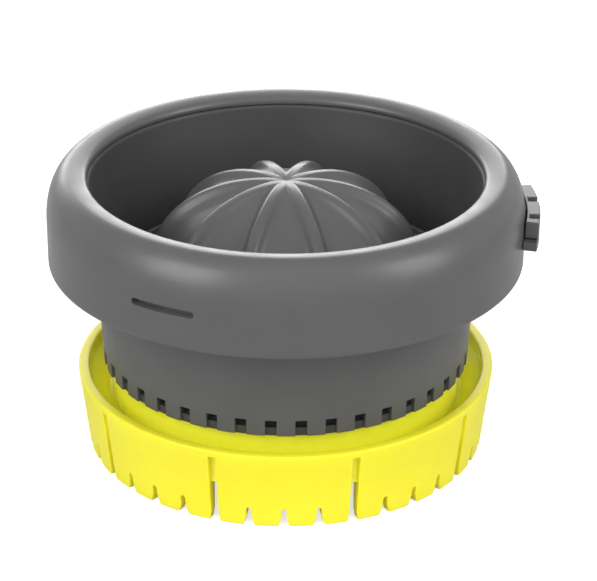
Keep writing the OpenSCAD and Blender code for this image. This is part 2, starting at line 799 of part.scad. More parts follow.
// Planet gear number i, turned so that it meshes with the sun and the ring
module planet_gear(i) {
    phi = 360 / planet_count * i;
    color(nylon)
    rotate([0, 0, phi]) translate([planet_c, 0, gear_z]) rotate([0, 0, phi * sun_teeth / planet_teeth])
    difference() {
        linear_extrude(gear_w)
            polygon(gear_outline(
                planet_teeth, planet_pitch_r - dedendum, planet_pitch_r + addendum, backlash));
        translate([0, 0, -bite]) cylinder(r = planet_pin_r + run_gap, h = gear_w + 2 * bite);
    }
}

module planet_gear_1() { planet_gear(0); }
module planet_gear_2() { planet_gear(1); }
module planet_gear_3() { planet_gear(2); }

module ring_gear() {
    base_z = plate_z + plate_t + seat_gap;
    h = shoulder_z - seat_gap - base_z;
    color(acetal)
    translate([0, 0, base_z])
    difference() {
        cylinder(r = ring_gear_r, h = h);
        translate([0, 0, -bite]) linear_extrude(h + 2 * bite)
            polygon(gear_outline(ring_teeth, ring_pitch_r - addendum, ring_pitch_r + dedendum, -backlash));
        around(planet_count, gearbox_screw_az)
            translate([gearbox_screw_c, 0, -bite]) cylinder(r = screw_r + snug_gap, h = h + 2 * bite);
    }
}

module sun_pinion() {
    color(steel)
    translate([0, 0, gear_z])
    difference() {
        rotate([0, 0, 180 / sun_teeth]) linear_extrude(gear_w)
            polygon(gear_outline(sun_teeth, sun_pitch_r - dedendum, sun_pitch_r + addendum, backlash));
        translate([0, 0, -bite]) cylinder(r = shaft_r + snug_gap, h = gear_w + 2 * bite);
    }
}

module motor_shaft() {
    color(steel) translate([0, 0, can_z]) cylinder(r = shaft_r, h = gear_z + gear_w - can_z);
}

module motor_rotor() {
    stack_z = can_z + can_wall + rotor_end_gap;
    stack_h = can_h - can_wall - 2 * rotor_end_gap;
    color(dark) translate([0, 0, stack_z]) ring(rotor_r, shaft_r + snug_gap, stack_h);
}

module motor_stator() {
    color(steel)
    translate([0, 0, stator_z]) {
        ring(stator_r, yoke_r, stator_h);
        around(pole_count, pole_az)
            translate([pole_x, -pole_w / 2, bite])
                cube([yoke_r + yoke_t / 2 - pole_x, pole_w, stator_h - 2 * bite]);
    }
}

module motor_windings() {
    coil_len = yoke_r - coil_r - 2 * loose_gap;
    coil_y = (pole_w + coil_t + snug_gap) / 2;
    color(copper)
    translate([0, 0, stator_z])
    around(pole_count, pole_az)
        for (side = [-1, 1])
            translate([coil_r, side * coil_y - coil_t / 2, 0])
                cube([coil_len, coil_t, stator_h]);
}

module motor_can() {
    color(steel)
    translate([0, 0, can_z])
    difference() {
        cylinder(r = can_r, h = can_h);
        translate([0, 0, can_wall]) cylinder(r = can_r - can_wall, h = can_h);
        translate([0, 0, -bite]) cylinder(r = bearing_r + snug_gap, h = can_wall + 2 * bite);
    }
}

module upper_bearing() {
    color(brass) translate([0, 0, plate_z]) ring(bearing_r, shaft_r + run_gap, plate_t);
}

module lower_bearing() {
    color(brass) translate([0, 0, can_z]) ring(bearing_r, shaft_r + run_gap, can_wall);
}

module gearbox_plate() {
    color(steel)
    translate([0, 0, plate_z])
    difference() {
        ring(ring_gear_r, bearing_r + snug_gap, plate_t);
        around(planet_count, gearbox_screw_az)
            translate([gearbox_screw_c, 0, -bite])
                cylinder(r = screw_r + snug_gap, h = plate_t + 2 * bite);
    }
}

module gearbox_screws() {
    color(steel)
    around(planet_count, gearbox_screw_az)
        translate([gearbox_screw_c, 0, plate_z - head_h - seat_gap]) screw(shoulder_z + screw_hold - plate_z);
}

module driver_board() {
    color(board_green)
    translate([0, 0, board_z])
        ring(housing_in_r - loose_gap, can_r + loose_gap, board_t);
    color(dark)
    around(chip_count, chip_az)
        translate([(can_r + housing_in_r - chip_l) / 2, -chip_w / 2, board_z + board_t - bite])
            cube([chip_l, chip_w, chip_h]);
}

module motor_housing() {
    floor_drop = floor_rise * housing_flange_w / (skirt_in(skirt_z) - housing_r);
    seat_flange_z = sill_z + floor_rise - floor_t - floor_drop - seat_gap - housing_flange_t;
    profile = [
        [housing_in_r, housing_z], [housing_r, housing_z], [housing_r, housing_top_z],
        [bush_r + snug_gap, housing_top_z], [bush_r + snug_gap, bush_z - run_gap],
        [gear_case_r, bush_z - run_gap], [gear_case_r, shoulder_z], [housing_in_r, shoulder_z]
    ];
    color(grey)
    difference() {
        union() {
            rotate_extrude() polygon(profile);
            translate([0, 0, seat_flange_z])
                difference() {
                    ring(housing_r + housing_flange_w, housing_r - bite, housing_flange_t);
                    translate([-duct_out_w / 2 - loose_gap, 0, -bite])
                        cube([duct_out_w + 2 * loose_gap, 2 * housing_r, housing_flange_t + 2 * bite]);
                }
            around(planet_count, cover_boss_az)
                translate([cover_boss_c, 0, housing_z + bite])
                    cylinder(r = boss_r, h = board_z - seat_gap - housing_z - bite);
        }
        around(planet_count, gearbox_screw_az)
            translate([gearbox_screw_c, 0, shoulder_z - bite])
                cylinder(r = screw_r + snug_gap, h = screw_hold + 3 * bite);
        around(planet_count, cover_boss_az)
            translate([cover_boss_c, 0, housing_z - bite])
                cylinder(r = screw_r + snug_gap, h = board_z - housing_z - boss_cap);
        translate([-duct_w / 2, housing_in_r - cut_over, spoke_z])
            cube([duct_w, housing_wall + 2 * cut_over, spoke_h]);
    }
}

module motor_cover() {
    color(grey)
    translate([0, 0, cover_z])
    difference() {
        cylinder(r = housing_r, h = cover_t);
        around(planet_count, cover_boss_az)
            translate([cover_boss_c, 0, -bite])
                cylinder(r = screw_r + snug_gap, h = cover_t + 2 * bite);
    }
}

module cover_gasket() {
    color(dark)
    translate([0, 0, cover_z + cover_t])
        ring(housing_r - gasket_inset, housing_in_r + gasket_inset, gasket_t);
}

module cover_screws() {
    color(steel)
    around(planet_count, cover_boss_az)
        translate([cover_boss_c, 0, cover_z - head_h - seat_gap]) screw(board_z - cover_z - 2 * boss_cap);
}

// Ribbed thumb piece of the slider, with the stem that reaches through the collar
module power_slider() {
    r_in = collar_r + loose_gap;
    whole = span(slider_len, collar_r);
    end_a = span(rib_end_len, collar_r);
    gap_a = span(rib_gap, collar_r);
    wide_a = (whole - end_a - 3 * gap_a) / 2;
    stem_a = span(stem_len, collar_r);
    near_a = slider_az - whole / 2;
    gaps = [
        [end_a, end_a + gap_a], [end_a + gap_a + wide_a, end_a + 2 * gap_a + wide_a],
        [whole - gap_a, whole + gap_a]
    ];
    color(grey)
    difference() {
        union() {
            translate([0, 0, slider_z]) ring_wedge(r_in, slider_r, slider_h, slider_az, whole);
            translate([0, 0, stem_z - stem_h / 2])
                ring_wedge(collar_in_r - stem_reach, r_in + bite, stem_h, slider_az, stem_a);
        }
        for (g = gaps)
            translate([0, 0, slider_z + slider_h - rib_depth])
                ring_wedge(r_in + rib_web_t, slider_r + cut_over, rib_depth + cut_over,
                    near_a + (g[0] + g[1]) / 2, g[1] - g[0]);
    }
}

// Clip behind the collar wall that keeps the slider in its slot
module slider_clip() {
    r_out = collar_in_r - loose_gap;
    r_in = r_out - clip_t;
    grip_a = span(stem_len + 2 * clip_grip, collar_r);
    hole_a = span(stem_len + 2 * snug_gap, collar_r);
    color(dark)
    difference() {
        translate([0, 0, stem_z - stem_h / 2 - clip_lip])
            ring_wedge(r_in, r_out, stem_h + 2 * clip_lip, slider_az, grip_a);
        translate([0, 0, stem_z - stem_h / 2 - snug_gap])
            ring_wedge(r_in - cut_over, r_out + cut_over, stem_h + 2 * snug_gap, slider_az, hole_a);
    }
}

module slider_rail() {
    angle = span(slider_len + 2 * rail_over, collar_r);
    color(grey)
    translate([0, 0, rail_z]) ring_wedge(collar_r + seat_gap, slider_r, rail_h, slider_az, angle);
}

// Switch body on the flange, with the groove that the slider's stem moves in
module slide_switch() {
    face_x = collar_in_r - loose_gap - clip_t - switch_gap;
    groove_a = span(stem_len + 2 * slider_travel + 2 * loose_gap, collar_r);
    color(dark)
    difference() {
        rotate([0, 0, slider_az])
            translate([face_x - switch_d, -switch_w / 2, flange_top_z + seat_gap])
                cube([switch_d, switch_w, stem_z + stem_h - flange_top_z]);
        translate([0, 0, stem_z - stem_h / 2 - loose_gap])
            ring_wedge(collar_in_r - stem_reach - loose_gap, collar_r, stem_h + 2 * loose_gap,
                slider_az, groove_a);
    }
}

module status_lens() {
    flange_in_r = collar_in_r - lens_flange_t;
    color(smoke) {
        intersection() {
            light_slot(flange_in_r - cut_over, collar_r, slot_h - 2 * snug_gap, slot_len - 2 * snug_gap);
            translate([0, 0, slot_z - slot_h])
                ring(collar_r - lens_recess, flange_in_r + lens_flange_t / 2, 2 * slot_h);
        }
        translate([0, 0, slot_z - slot_h])
            ring_wedge(flange_in_r, collar_in_r - snug_gap, 2 * slot_h, slot_az,
                span(slot_len + 2 * lens_lip, collar_r));
    }
}

module indicator_board() {
    face_x = collar_in_r - indicator_setback;
    rotate([0, 0, slot_az]) {
        color(board_green)
        translate([face_x - board_t, -indicator_w / 2, flange_top_z + seat_gap])
            cube([board_t, indicator_w, slot_z + indicator_rise - flange_top_z]);
        color(lamp_white)
        for (i = [0:led_count - 1])
            translate([face_x - bite, (i - (led_count - 1) / 2) * led_pitch, slot_z])
                translate([0, -led_size / 2, -led_size / 2]) cube([led_h + bite, led_size, led_size]);
    }
}

module power_inlet() {
    body_y = collar_in_r - inlet_reach;
    color(dark)
    rotate([0, 0, inlet_az]) translate([0, 0, inlet_z]) rotate([0, 90, 0])
    difference() {
        union() {
            translate([0, 0, body_y]) cylinder(r = inlet_r, h = inlet_seat_y - body_y + bite);
            translate([0, 0, inlet_seat_y + seat_gap]) cylinder(r = inlet_flange_r, h = inlet_flange_t);
        }
        difference() {
            translate([0, 0, body_y + inlet_end_t]) cylinder(r = inlet_bore_r, h = collar_r - body_y);
            cylinder(r = inlet_pin_r, h = collar_r - inlet_pin_recess);
        }
    }
}

module inlet_nut() {
    wall_y = sqrt(pow(collar_in_r, 2) - pow(inlet_flange_r, 2));
    color(steel)
    rotate([0, 0, inlet_az]) translate([0, 0, inlet_z]) rotate([0, 90, 0])
        translate([0, 0, wall_y - nut_t - loose_gap]) ring(inlet_flange_r, inlet_r + snug_gap, nut_t);
}

// Three insulated leads: inlet to switch, switch to light, and switch to motor through the duct
module wire_harness() {
    lead_z = spoke_z + spoke_h / 2;
    color(dark) {
        lead_arc(inlet_az - inlet_lead_a, slider_az + switch_lead_a);
        lead_arc(slider_az - switch_lead_a, slot_az + inlet_lead_a);
        lead_run([[0, duct_y, flange_top_z + duct_lead_top], [0, duct_y, lead_z]]);
        lead_run([[0, duct_y, lead_z], [0, housing_in_r - duct_lead_in, lead_z]]);
    }
}

module lead_arc(a, b) {
    rotate([0, 0, min(a, b)])
        rotate_extrude(angle = abs(a - b)) translate([wire_ring_r, wire_z]) circle(r = wire_r, $fn = 24);
}

// Straight lead from the first point to the second, with round ends
module lead_run(p) {
    d = p[1] - p[0];
    yaw = atan2(d[1], d[0]);
    tilt = acos(d[2] / norm(d));
    translate(p[0]) rotate([0, tilt, yaw]) cylinder(r = wire_r, h = norm(d), $fn = 24);
    translate(p[1]) sphere(r = wire_r, $fn = 24);
}

base_ring();
bowl();
rim_collar();
collar_screws();
strainer();
reamer();
spindle();
shaft_seal();
top_bush();
thrust_washer();
planet_carrier();
planet_pins();
planet_gear_1();
planet_gear_2();
planet_gear_3();
ring_gear();
sun_pinion();
motor_shaft();
motor_rotor();
motor_stator();
motor_windings();
motor_can();
upper_bearing();
lower_bearing();
gearbox_plate();
gearbox_screws();
driver_board();
motor_housing();
motor_cover();
cover_gasket();
cover_screws();
power_slider();
slider_clip();
slider_rail();
slide_switch();
status_lens();
indicator_board();
power_inlet();
inlet_nut();
wire_harness();
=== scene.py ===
"""Looks of the compact electric juicer: its moulded shells, reamer, strainer and slider, and every finish.

Sizes are in millimetres, and a mesh is written in metres. Angles are in degrees, and azimuth -90 is the
front. An outline is a list of (radius, height) that runs round a solid's section.
"""

import json
import math

import bmesh
import bpy
import numpy as np
from mathutils import Matrix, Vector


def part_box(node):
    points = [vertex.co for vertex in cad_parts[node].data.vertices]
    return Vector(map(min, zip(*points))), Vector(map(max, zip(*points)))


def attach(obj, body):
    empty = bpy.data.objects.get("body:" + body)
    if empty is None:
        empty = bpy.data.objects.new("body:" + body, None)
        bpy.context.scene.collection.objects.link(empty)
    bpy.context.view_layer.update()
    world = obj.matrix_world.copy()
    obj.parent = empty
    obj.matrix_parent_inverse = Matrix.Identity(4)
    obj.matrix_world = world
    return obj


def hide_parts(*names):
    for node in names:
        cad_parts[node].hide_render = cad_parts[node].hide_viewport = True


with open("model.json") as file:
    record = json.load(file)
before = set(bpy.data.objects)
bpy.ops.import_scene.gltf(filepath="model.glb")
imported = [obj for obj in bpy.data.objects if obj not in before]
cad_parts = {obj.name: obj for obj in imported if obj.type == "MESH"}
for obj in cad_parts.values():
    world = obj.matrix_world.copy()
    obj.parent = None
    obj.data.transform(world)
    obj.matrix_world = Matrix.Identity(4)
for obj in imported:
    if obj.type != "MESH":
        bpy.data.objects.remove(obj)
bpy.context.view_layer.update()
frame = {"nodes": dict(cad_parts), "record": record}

MM = 0.001
FRONT = -90.0


def box_mm(node):
    """Lowest and highest corner of a CAD node in millimetres."""
    low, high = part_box(node)
    return np.array(low) / MM, np.array(high) / MM


# Sizes read from the frame
ring_high = box_mm("base_ring")[1]
bowl_low, bowl_high = box_mm("bowl")
collar_low, collar_high = box_mm("rim_collar")
strainer_low, strainer_high = box_mm("strainer")
reamer_low = box_mm("reamer")[0]
housing_high = box_mm("motor_housing")[1]
slider_high = box_mm("power_slider")[1]
rail_low, rail_high = box_mm("slider_rail")
inlet_low, inlet_high = box_mm("power_inlet")

# Small sizes that many pieces share
CHAMFER = 0.3        # broken edge of a moulding
SMALL_ROUND = 0.2    # round of a hidden edge
SINK = 0.2           # how far one shell of a piece is sunk into the next
OVERLAP = 0.05       # the same where the two surfaces run side by side
ROUND_STEPS = 6      # grid steps over a quarter round
MERGE = 0.002        # points closer than this become one
SLIVER = 0.0001      # edges shorter than this are dissolved
AXIS_R = MERGE / 4   # radius that stands for the axis, so that a pole's points become one
TINY = 1e-6          # slack in a comparison, and the least divisor
SHARP = 38.0         # angle past which an edge stays sharp

# Base ring
RIM_R = ring_high[0]
RING_H = 22.0
FOOT_R = 54.5
SOCKET_R = 52.0
SOCKET_DEPTH = 11.6
SOCKET_STEP = 1.2
RIM_BAND = 2.9
RIM_ROUND = 0.7
GUTTER_R = 53.5
GUTTER_WALL_Z = RING_H - 2.7
GUTTER_Z = 13.6
GUTTER_FALL = 0.4
GUTTER_ROUND = 0.9
LEAN_Z = 20.7
GROOVE_R = 54.6
SEAT_R = 47.6
SLOPE_FOOT_R = 48.8
SEAT_IN_R = 44.2
SEAT_LIP_R = 45.4
SEAT_Z = 24.0
SEAT_TOP = ring_high[2]
SEAT_SINK = 0.4
SEAT_ROW_Z = 20.0
SEAT_BAYS = 12
ARCHES = 6
ARCH_W = 10.0
ARCH_H = 3.6
CUTS = 37
CUT_PITCH = 9.6
SLIT_EVERY = 4
SLIT_W = 2.1
SLIT_TOP = 20.0
NOTCH_W = 1.3
NOTCH_H = 5.5
NOTCH_TIP = 0.4                   # width at a notch's top, as a share of its width
MOUTH_W = 3.0
MOUTH_Z = (0.0, 0.6, 3.0)         # heights over which a cut's mouth narrows
MOUTH_SHARE = (-0.2, 0.2, 1.0)    # share of the way from MOUTH_W to the cut's width there
RING_ROWS = (1.8, 4.0, 7.0, 9.0, 15.0, 17.5)
RING_EDGE = 0.28

# Bowl
SKIRT_Z = 24.25
SKIRT_FOOT_R = 50.0
SKIRT_TOP_R = 51.2
SKIRT_TOP_Z = collar_low[2]
SKIN_ROWS = (25.4, 27.5, 30.5, 34.0, 40.0, 46.0)
BOWL_WALL = 2.2
BOWL_MOUTH_R = 52.4
BOWL_MOUTH_Z = bowl_high[2]
BOWL_ROWS = (25.2, 27.5, 32.0, 38.0, 45.0, 62.0, 68.0)
WINDOWS = 40
WINDOW_TURN = 0.5
WINDOW_W = 3.0
WINDOW_TOP = SKIRT_Z + 4.5
SILL_Z = SKIRT_Z + 2.1
WINDOW_DEPTH = 0.9
SEAT_RING_R = 45.7
FLOOR_RISE = 6.0
FLOOR_T = 1.8
FLOOR_LAP = 1.55
LEDGE_Z = SKIRT_Z + 20.0
LEDGE_W = 1.8
FLANGE_Z = SKIRT_TOP_Z + 1.7
FLANGE_T = 2.0
FLANGE_LAP = 1.0
DUCT_HALF_W = 3.9
DUCT_OUT_Y = 55.8
DUCT_ROUND = 1.0
SPOKE_TOP_Z = 33.85
SPOKE_LAP = 1.5
SPOKE_ROUND = 0.8
DUCT_FOOT_Z = SPOKE_TOP_Z - 6.0

# Collar
COLLAR_R = 64.0
COLLAR_Z = collar_low[2]
COLLAR_TOP = collar_high[2]
COLLAR_WALL = 2.4
COLLAR_EDGE = 0.7
COLLAR_FOOT_BREAK = 0.4
COLLAR_ROWS = 9
ROLL_W = 6.5
ROLL_H = 12.0
OPENING_R = 52.8
LIP_ROUND = 1.8
TOP_DIP = 14.0
LIP_H = 2.8
HOOK_T = 1.4
HOOK_GAP = 0.3
SLOT_AZ = -118.5
SLOT_LEN = 18.0
SLOT_H = 1.9
SLOT_Z = COLLAR_Z + 10.0
CUT_PAST = 1.0

# Power inlet
INLET_Z = (inlet_low[2] + inlet_high[2]) / 2
INLET_BORE_R = 2.9
INLET_BARREL_R = 4.4
INLET_FLANGE_R = 6.2
INLET_FLANGE_T = 0.7
INLET_FLOOR_T = 1.2
INLET_SEAT_Y = 63.0
INLET_HOLE_Y = 55.0
PIN_R = 0.9
PIN_ROUND = 0.5
PIN_SUNK = 0.4
PIN_SET_BACK = 1.8

# Reamer and strainer
REAMER_R = 35.5
REAMER_RISE = 25.0
REAMER_SKIRT = 2.0
REAMER_WALL = 2.4
REAMER_RIBS = 10
REAMER_STEPS = 40
REAMER_SHARP = 60.0
BELL_POWER = 1.1
REAMER_RIB_H = 2.8
REAMER_RIB_W = 2.6
REAMER_RIB_FLAT = 0.75
REAMER_RIB_TIP_R = 1.0
HUB_Z = 50.65
HUB_R = 7.0
HUB_IN_R = 3.9
HUB_ROUND = 0.4
STRAINER_R = strainer_high[0]
STRAINER_IN_R = 36.6
STRAINER_T = 1.6
STRAINER_RING_W = 1.5
STRAINER_SLOTS = 72
STRAINER_SLOT_W = 1.3
STRAINER_BORDER = 0.8
FINE_EDGE = 0.12

# Slider
SLIDER_AZ = 0.9
SLIDER_IN_R = 64.3
SLIDER_R = slider_high[0]
SLIDER_LEN = 27.4
SLIDER_Z = rail_high[2] + 0.3
SLIDER_TOP = slider_high[2]
SLIDER_EDGE = 0.35
GRIP_END = 2.8
GRIP_GAP = 2.6
GRIP_CUT = 2.6
GRIP_WEB = 0.8
RAIL_LEN = SLIDER_LEN + 4.2
STEM_IN_R = 57.2
STEM_LEN = 8.0
STEM_Z = (SLIDER_Z + SLIDER_TOP) / 2
STEM_HALF_H = 1.5
STEM_PLAY = 0.3
STEM_TRAVEL = 4.6


# Mesh tools

def polar(r, z, az):
    """Points at radius r, height z and azimuth az (degrees), broadcast together."""
    r, z, az = np.broadcast_arrays(r, z, np.radians(az))
    return np.stack([r * np.cos(az), r * np.sin(az), z], -1)


def in_order(*heights):
    """Row heights of a grid, from lists in any order."""
    return np.sort(np.concatenate(heights))


def rounded(points, radii, steps):
    """Closed outline with each corner replaced by a tangent arc. The arc starts and ends r / tan(half the
    corner's angle) from the corner, and its points are its chord's, pushed out from its centre to r."""
    p = np.array(points, float)
    radii = np.broadcast_to(np.array(radii, float), len(p))
    before = np.roll(p, 1, axis=0) - p
    after = np.roll(p, -1, axis=0) - p
    a = before / np.linalg.norm(before, axis=1)[:, None]
    b = after / np.linalg.norm(after, axis=1)[:, None]
    half = np.arccos(np.clip((a * b).sum(1), -1, 1)) / 2
    cut = (radii / np.maximum(np.tan(half), TINY))[:, None]
    start, end = p + a * cut, p + b * cut
    inward = a + b
    length = np.maximum(np.linalg.norm(inward, axis=1), TINY)[:, None]
    centre = p + inward / length * (radii / np.maximum(np.sin(half), TINY))[:, None]
    t = np.linspace(0, 1, steps + 1)[None, :, None]
    chord = start[:, None] * (1 - t) + end[:, None] * t - centre[:, None]
    size = np.maximum(np.linalg.norm(chord, axis=2, keepdims=True), TINY)
    curve = centre[:, None] + chord / size * radii[:, None, None]
    curve = np.where(radii[:, None, None] > 0, curve, p[:, None])
    return curve.reshape(-1, 2)


def oval(centre, w, h, start, end, steps):
    """Points of an ellipse about centre, with half axes w and h, from angle start to angle end."""
    t = np.radians(np.linspace(start, end, steps + 1))
    return np.stack([centre[0] + w * np.cos(t), centre[1] + h * np.sin(t)], -1)


def arc(centre, r, start, end, steps):
    """Points of an arc about centre from angle start to angle end."""
    return oval(centre, r, r, start, end, steps)


def loop_grid(points):
    """Quads of a grid of points that closes on itself both ways; the second index runs inside the first."""
    u, v = points.shape[:2]
    index = np.arange(u * v).reshape(u, v)
    east = np.roll(index, -1, axis=0)
    north = np.roll(index, -1, axis=1)
    far = np.roll(east, -1, axis=1)
    return points.reshape(-1, 3), np.stack([index, east, far, north], -1).reshape(-1, 4)


def revolve(outline, turns=256):
    """A closed outline, counter-clockwise, carried round the axis."""
    az = np.arange(turns) * 360 / turns
    return loop_grid(polar(outline[:, 0], outline[:, 1], az[:, None]))


def sweep(sections):
    """Closed sections along a path: quads between neighbours, and one face over each end."""
    u, v = sections.shape[:2]
    index = np.arange(u * v).reshape(u, v)
    north = np.roll(index, -1, axis=1)
    sides = np.stack([north[:-1], north[1:], index[1:], index[:-1]], -1).reshape(-1, 4)
    return sections.reshape(-1, 3), sides.tolist() + [index[0].tolist(), index[-1][::-1].tolist()]


def cell_angles(cells, first, half, sides=4, middle=2, pitch=None):
    """Azimuths (columns, rows) of a ring of equal cells, each with a cut at its middle. The columns run from
    the cell's edge to the cut's edge, across it and on to the next cell, so grid lines follow the cut at
    each row. half holds the cut's half angle, per cell and row. Cells of a given pitch may leave a plain
    rest of the ring. Also tells which columns of faces lie in a cut."""
    pitch = pitch or 360 / cells
    edge = pitch / 2
    half = np.broadcast_to(half, (cells, half.shape[-1]))[:, None, :]
    k = np.arange(sides)[None, :, None] / sides
    m = np.arange(middle)[None, :, None] / middle
    columns = np.concatenate([-edge + (edge - half) * k, -half + 2 * half * m, half + (edge - half) * k], 1)
    centre = first + np.arange(cells) * pitch
    inside = np.zeros((cells, 2 * sides + middle), bool)
    inside[:, sides:sides + middle] = True
    return (columns + centre[:, None, None]).reshape(-1, half.shape[-1]), inside.ravel()


def walled(front, back, keep):
    """A sheet over two parameters made into a wall. front and back are grids (columns, rows) that close
    round the axis, and keep says which faces are there. Every edge of the kept part gets a quad from front
    to back."""
    u, v = front.shape[:2]
    n = u * v
    index = np.arange(n).reshape(u, v)
    east = np.roll(index, -1, axis=0)
    a, b, c, d = index[:, :-1], east[:, :-1], east[:, 1:], index[:, 1:]
    quads = [np.stack([a, b, c, d], -1)[keep], np.stack([d, c, b, a], -1)[keep] + n]
    west = np.roll(keep, 1, axis=0)
    quads.append(np.stack([a, d, d + n, a + n], -1)[keep & ~west])
    quads.append(np.stack([d, a, a + n, d + n], -1)[west & ~keep])
    none = np.zeros((u, 1), bool)
    below = np.concatenate([none, keep], 1)
    above = np.concatenate([keep, none], 1)
    quads.append(np.stack([east, index, index + n, east + n], -1)[above & ~below])
    quads.append(np.stack([index, east, east + n, index + n], -1)[below & ~above])
    return np.concatenate([front.reshape(-1, 3), back.reshape(-1, 3)]), np.concatenate(quads)


def turned_wall(outer, inner, az, keep):
    """Wall between two lines of (radius, height), both carried round the axis on the azimuths az."""
    return walled(polar(outer[:, 0], outer[:, 1], az), polar(inner[:, 0], inner[:, 1], az), keep)


def joined(*shapes):
    """Several (points, faces) as one."""
    points, faces, start = [], [], 0
    for p, f in shapes:
        points.append(p)
        faces += [[int(i) + start for i in face] for face in f]
        start += len(p)
    return np.concatenate(points), faces


def closed_mesh(name, shape):
    """Mesh of a (points, faces) shape in metres: doubles merged, slivers dissolved and faces outwards."""
    points, faces = shape
    mesh = bpy.data.meshes.new(name)
    mesh.from_pydata((points * MM).tolist(), [], [list(map(int, f)) for f in faces])
    work = bmesh.new()
    work.from_mesh(mesh)
    bmesh.ops.remove_doubles(work, verts=work.verts, dist=MERGE * MM)
    bmesh.ops.dissolve_degenerate(work, edges=work.edges, dist=SLIVER * MM)
    bmesh.ops.recalc_face_normals(work, faces=work.faces)
    work.to_mesh(mesh)
    work.free()
    return mesh


def piece(name, shape, body, finish, bevel=0.0, replaces=(), sharp=SHARP):
    """A mesh piece that rides on a body: smooth, with its edges bevelled, or else sharp past an angle."""
    mesh = closed_mesh(name, shape)
    mesh.shade_smooth()
    made = bpy.data.objects.new(name, mesh)
    bpy.context.scene.collection.objects.link(made)
    mesh.materials.append(finish)
    if bevel:
        edge = made.modifiers.new("soft_edges", "BEVEL")
        edge.width = bevel * MM
        edge.segments = 3
        edge.limit_method = "ANGLE"
        edge.angle_limit = math.radians(sharp)
        edge.harden_normals = True
        edge.use_clamp_overlap = True
    else:
        mesh.set_sharp_from_angle(angle=math.radians(sharp))
    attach(made, body)
    if replaces:
        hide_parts(*replaces)
    return made


def cut_away(target, *cutters):
    """Takes closed cutter shapes out of a piece, keeps the result as its mesh, and smooths it again."""
    for shape in cutters:
        mesh = closed_mesh("cutter", shape)
        tool = bpy.data.objects.new("cutter", mesh)
        bpy.context.scene.collection.objects.link(tool)
        step = target.modifiers.new("cut", "BOOLEAN")
        step.operation = "DIFFERENCE"
        step.solver = "EXACT"
        step.object = tool
        bpy.context.view_layer.update()
        view = bpy.context.evaluated_depsgraph_get()
        result = bpy.data.meshes.new_from_object(target.evaluated_get(view))
        target.modifiers.remove(step)
        old = target.data
        target.data = result
        result.name = old.name
        bpy.data.objects.remove(tool)
        bpy.data.meshes.remove(mesh)
        bpy.data.meshes.remove(old)
    target.data.shade_smooth()
    target.data.set_sharp_from_angle(angle=math.radians(SHARP))


# Finishes

SEEP_SHARE = 0.5
SEEP_TINT = (1.0, 1.0, 0.4)
NOISE_LOW, NOISE_HIGH = 0.3, 0.7    # range that holds most of a noise's values


def principled(name):
    """A new material with its node tree and Principled shader."""
    made = bpy.data.materials.new(name)
    made.use_nodes = True
    tree = made.node_tree
    return made, tree, tree.nodes["Principled BSDF"]


def noise(tree, size_mm, detail=2.0, stretch=None):
    """Noise on Object coordinates whose features are about size_mm across; stretch scales it by axis."""
    place = tree.nodes.new("ShaderNodeTexCoord")
    made = tree.nodes.new("ShaderNodeTexNoise")
    made.inputs["Scale"].default_value = 1 / (size_mm * MM)
    made.inputs["Detail"].default_value = detail
    source = place.outputs["Object"]
    if stretch:
        turn = tree.nodes.new("ShaderNodeMapping")
        turn.inputs["Scale"].default_value = stretch
        tree.links.new(source, turn.inputs["Vector"])
        source = turn.outputs["Vector"]
    tree.links.new(source, made.inputs["Vector"])
    return made.outputs["Fac"]


def spread(tree, value, low, high):
    """Maps the middle of a noise to the range low..high."""
    made = tree.nodes.new("ShaderNodeMapRange")
    made.inputs["From Min"].default_value = NOISE_LOW
    made.inputs["From Max"].default_value = NOISE_HIGH
    made.inputs["To Min"].default_value = low
    made.inputs["To Max"].default_value = high
    tree.links.new(value, made.inputs["Value"])
    return made.outputs["Result"]


def tint(tree, value, dark, light):
    """Colour between dark and light by a noise value."""
    made = tree.nodes.new("ShaderNodeValToRGB")
    ends = made.color_ramp.elements
    ends[0].position, ends[1].position = NOISE_LOW, NOISE_HIGH
    ends[0].color, ends[1].color = (*dark, 1), (*light, 1)
    tree.links.new(value, made.inputs["Fac"])
    return made.outputs["Color"]


def grain(tree, shader, value, depth_mm, strength=1.0):
    """Bump of depth_mm from a height value."""
    made = tree.nodes.new("ShaderNodeBump")
    made.inputs["Distance"].default_value = depth_mm * MM
    made.inputs["Strength"].default_value = strength
    tree.links.new(value, made.inputs["Height"])
    tree.links.new(made.outputs["Normal"], shader.inputs["Normal"])


def moulded(name, dark, light, rough, grain_mm, depth_mm, mottle_mm=14.0, specular=0.5, seep_mm=0.0):
    """Moulded plastic: slow colour drift, patchy gloss and a fine eroded grain. Light seeps seep_mm in."""
    made, tree, shader = principled(name)
    drift = noise(tree, mottle_mm)
    tree.links.new(tint(tree, drift, dark, light), shader.inputs["Base Color"])
    tree.links.new(spread(tree, noise(tree, mottle_mm / 3), *rough), shader.inputs["Roughness"])
    grain(tree, shader, noise(tree, grain_mm, 3.0), depth_mm)
    shader.inputs["Specular IOR Level"].default_value = specular
    if seep_mm:
        shader.inputs["Subsurface Weight"].default_value = SEEP_SHARE
        shader.inputs["Subsurface Radius"].default_value = SEEP_TINT
        shader.inputs["Subsurface Scale"].default_value = seep_mm * MM
    return made


def machined(name, dark, light, rough, line_mm=0.25):
    """Turned or rolled metal: streaks drawn out along the axis, with a gloss that follows them."""
    made, tree, shader = principled(name)
    lines = noise(tree, line_mm, 2.0, (1.0, 1.0, 0.06))
    tree.links.new(tint(tree, lines, dark, light), shader.inputs["Base Color"])
    tree.links.new(spread(tree, lines, *rough), shader.inputs["Roughness"])
    grain(tree, shader, lines, 0.01, 0.5)
    shader.inputs["Metallic"].default_value = 1.0
    return made


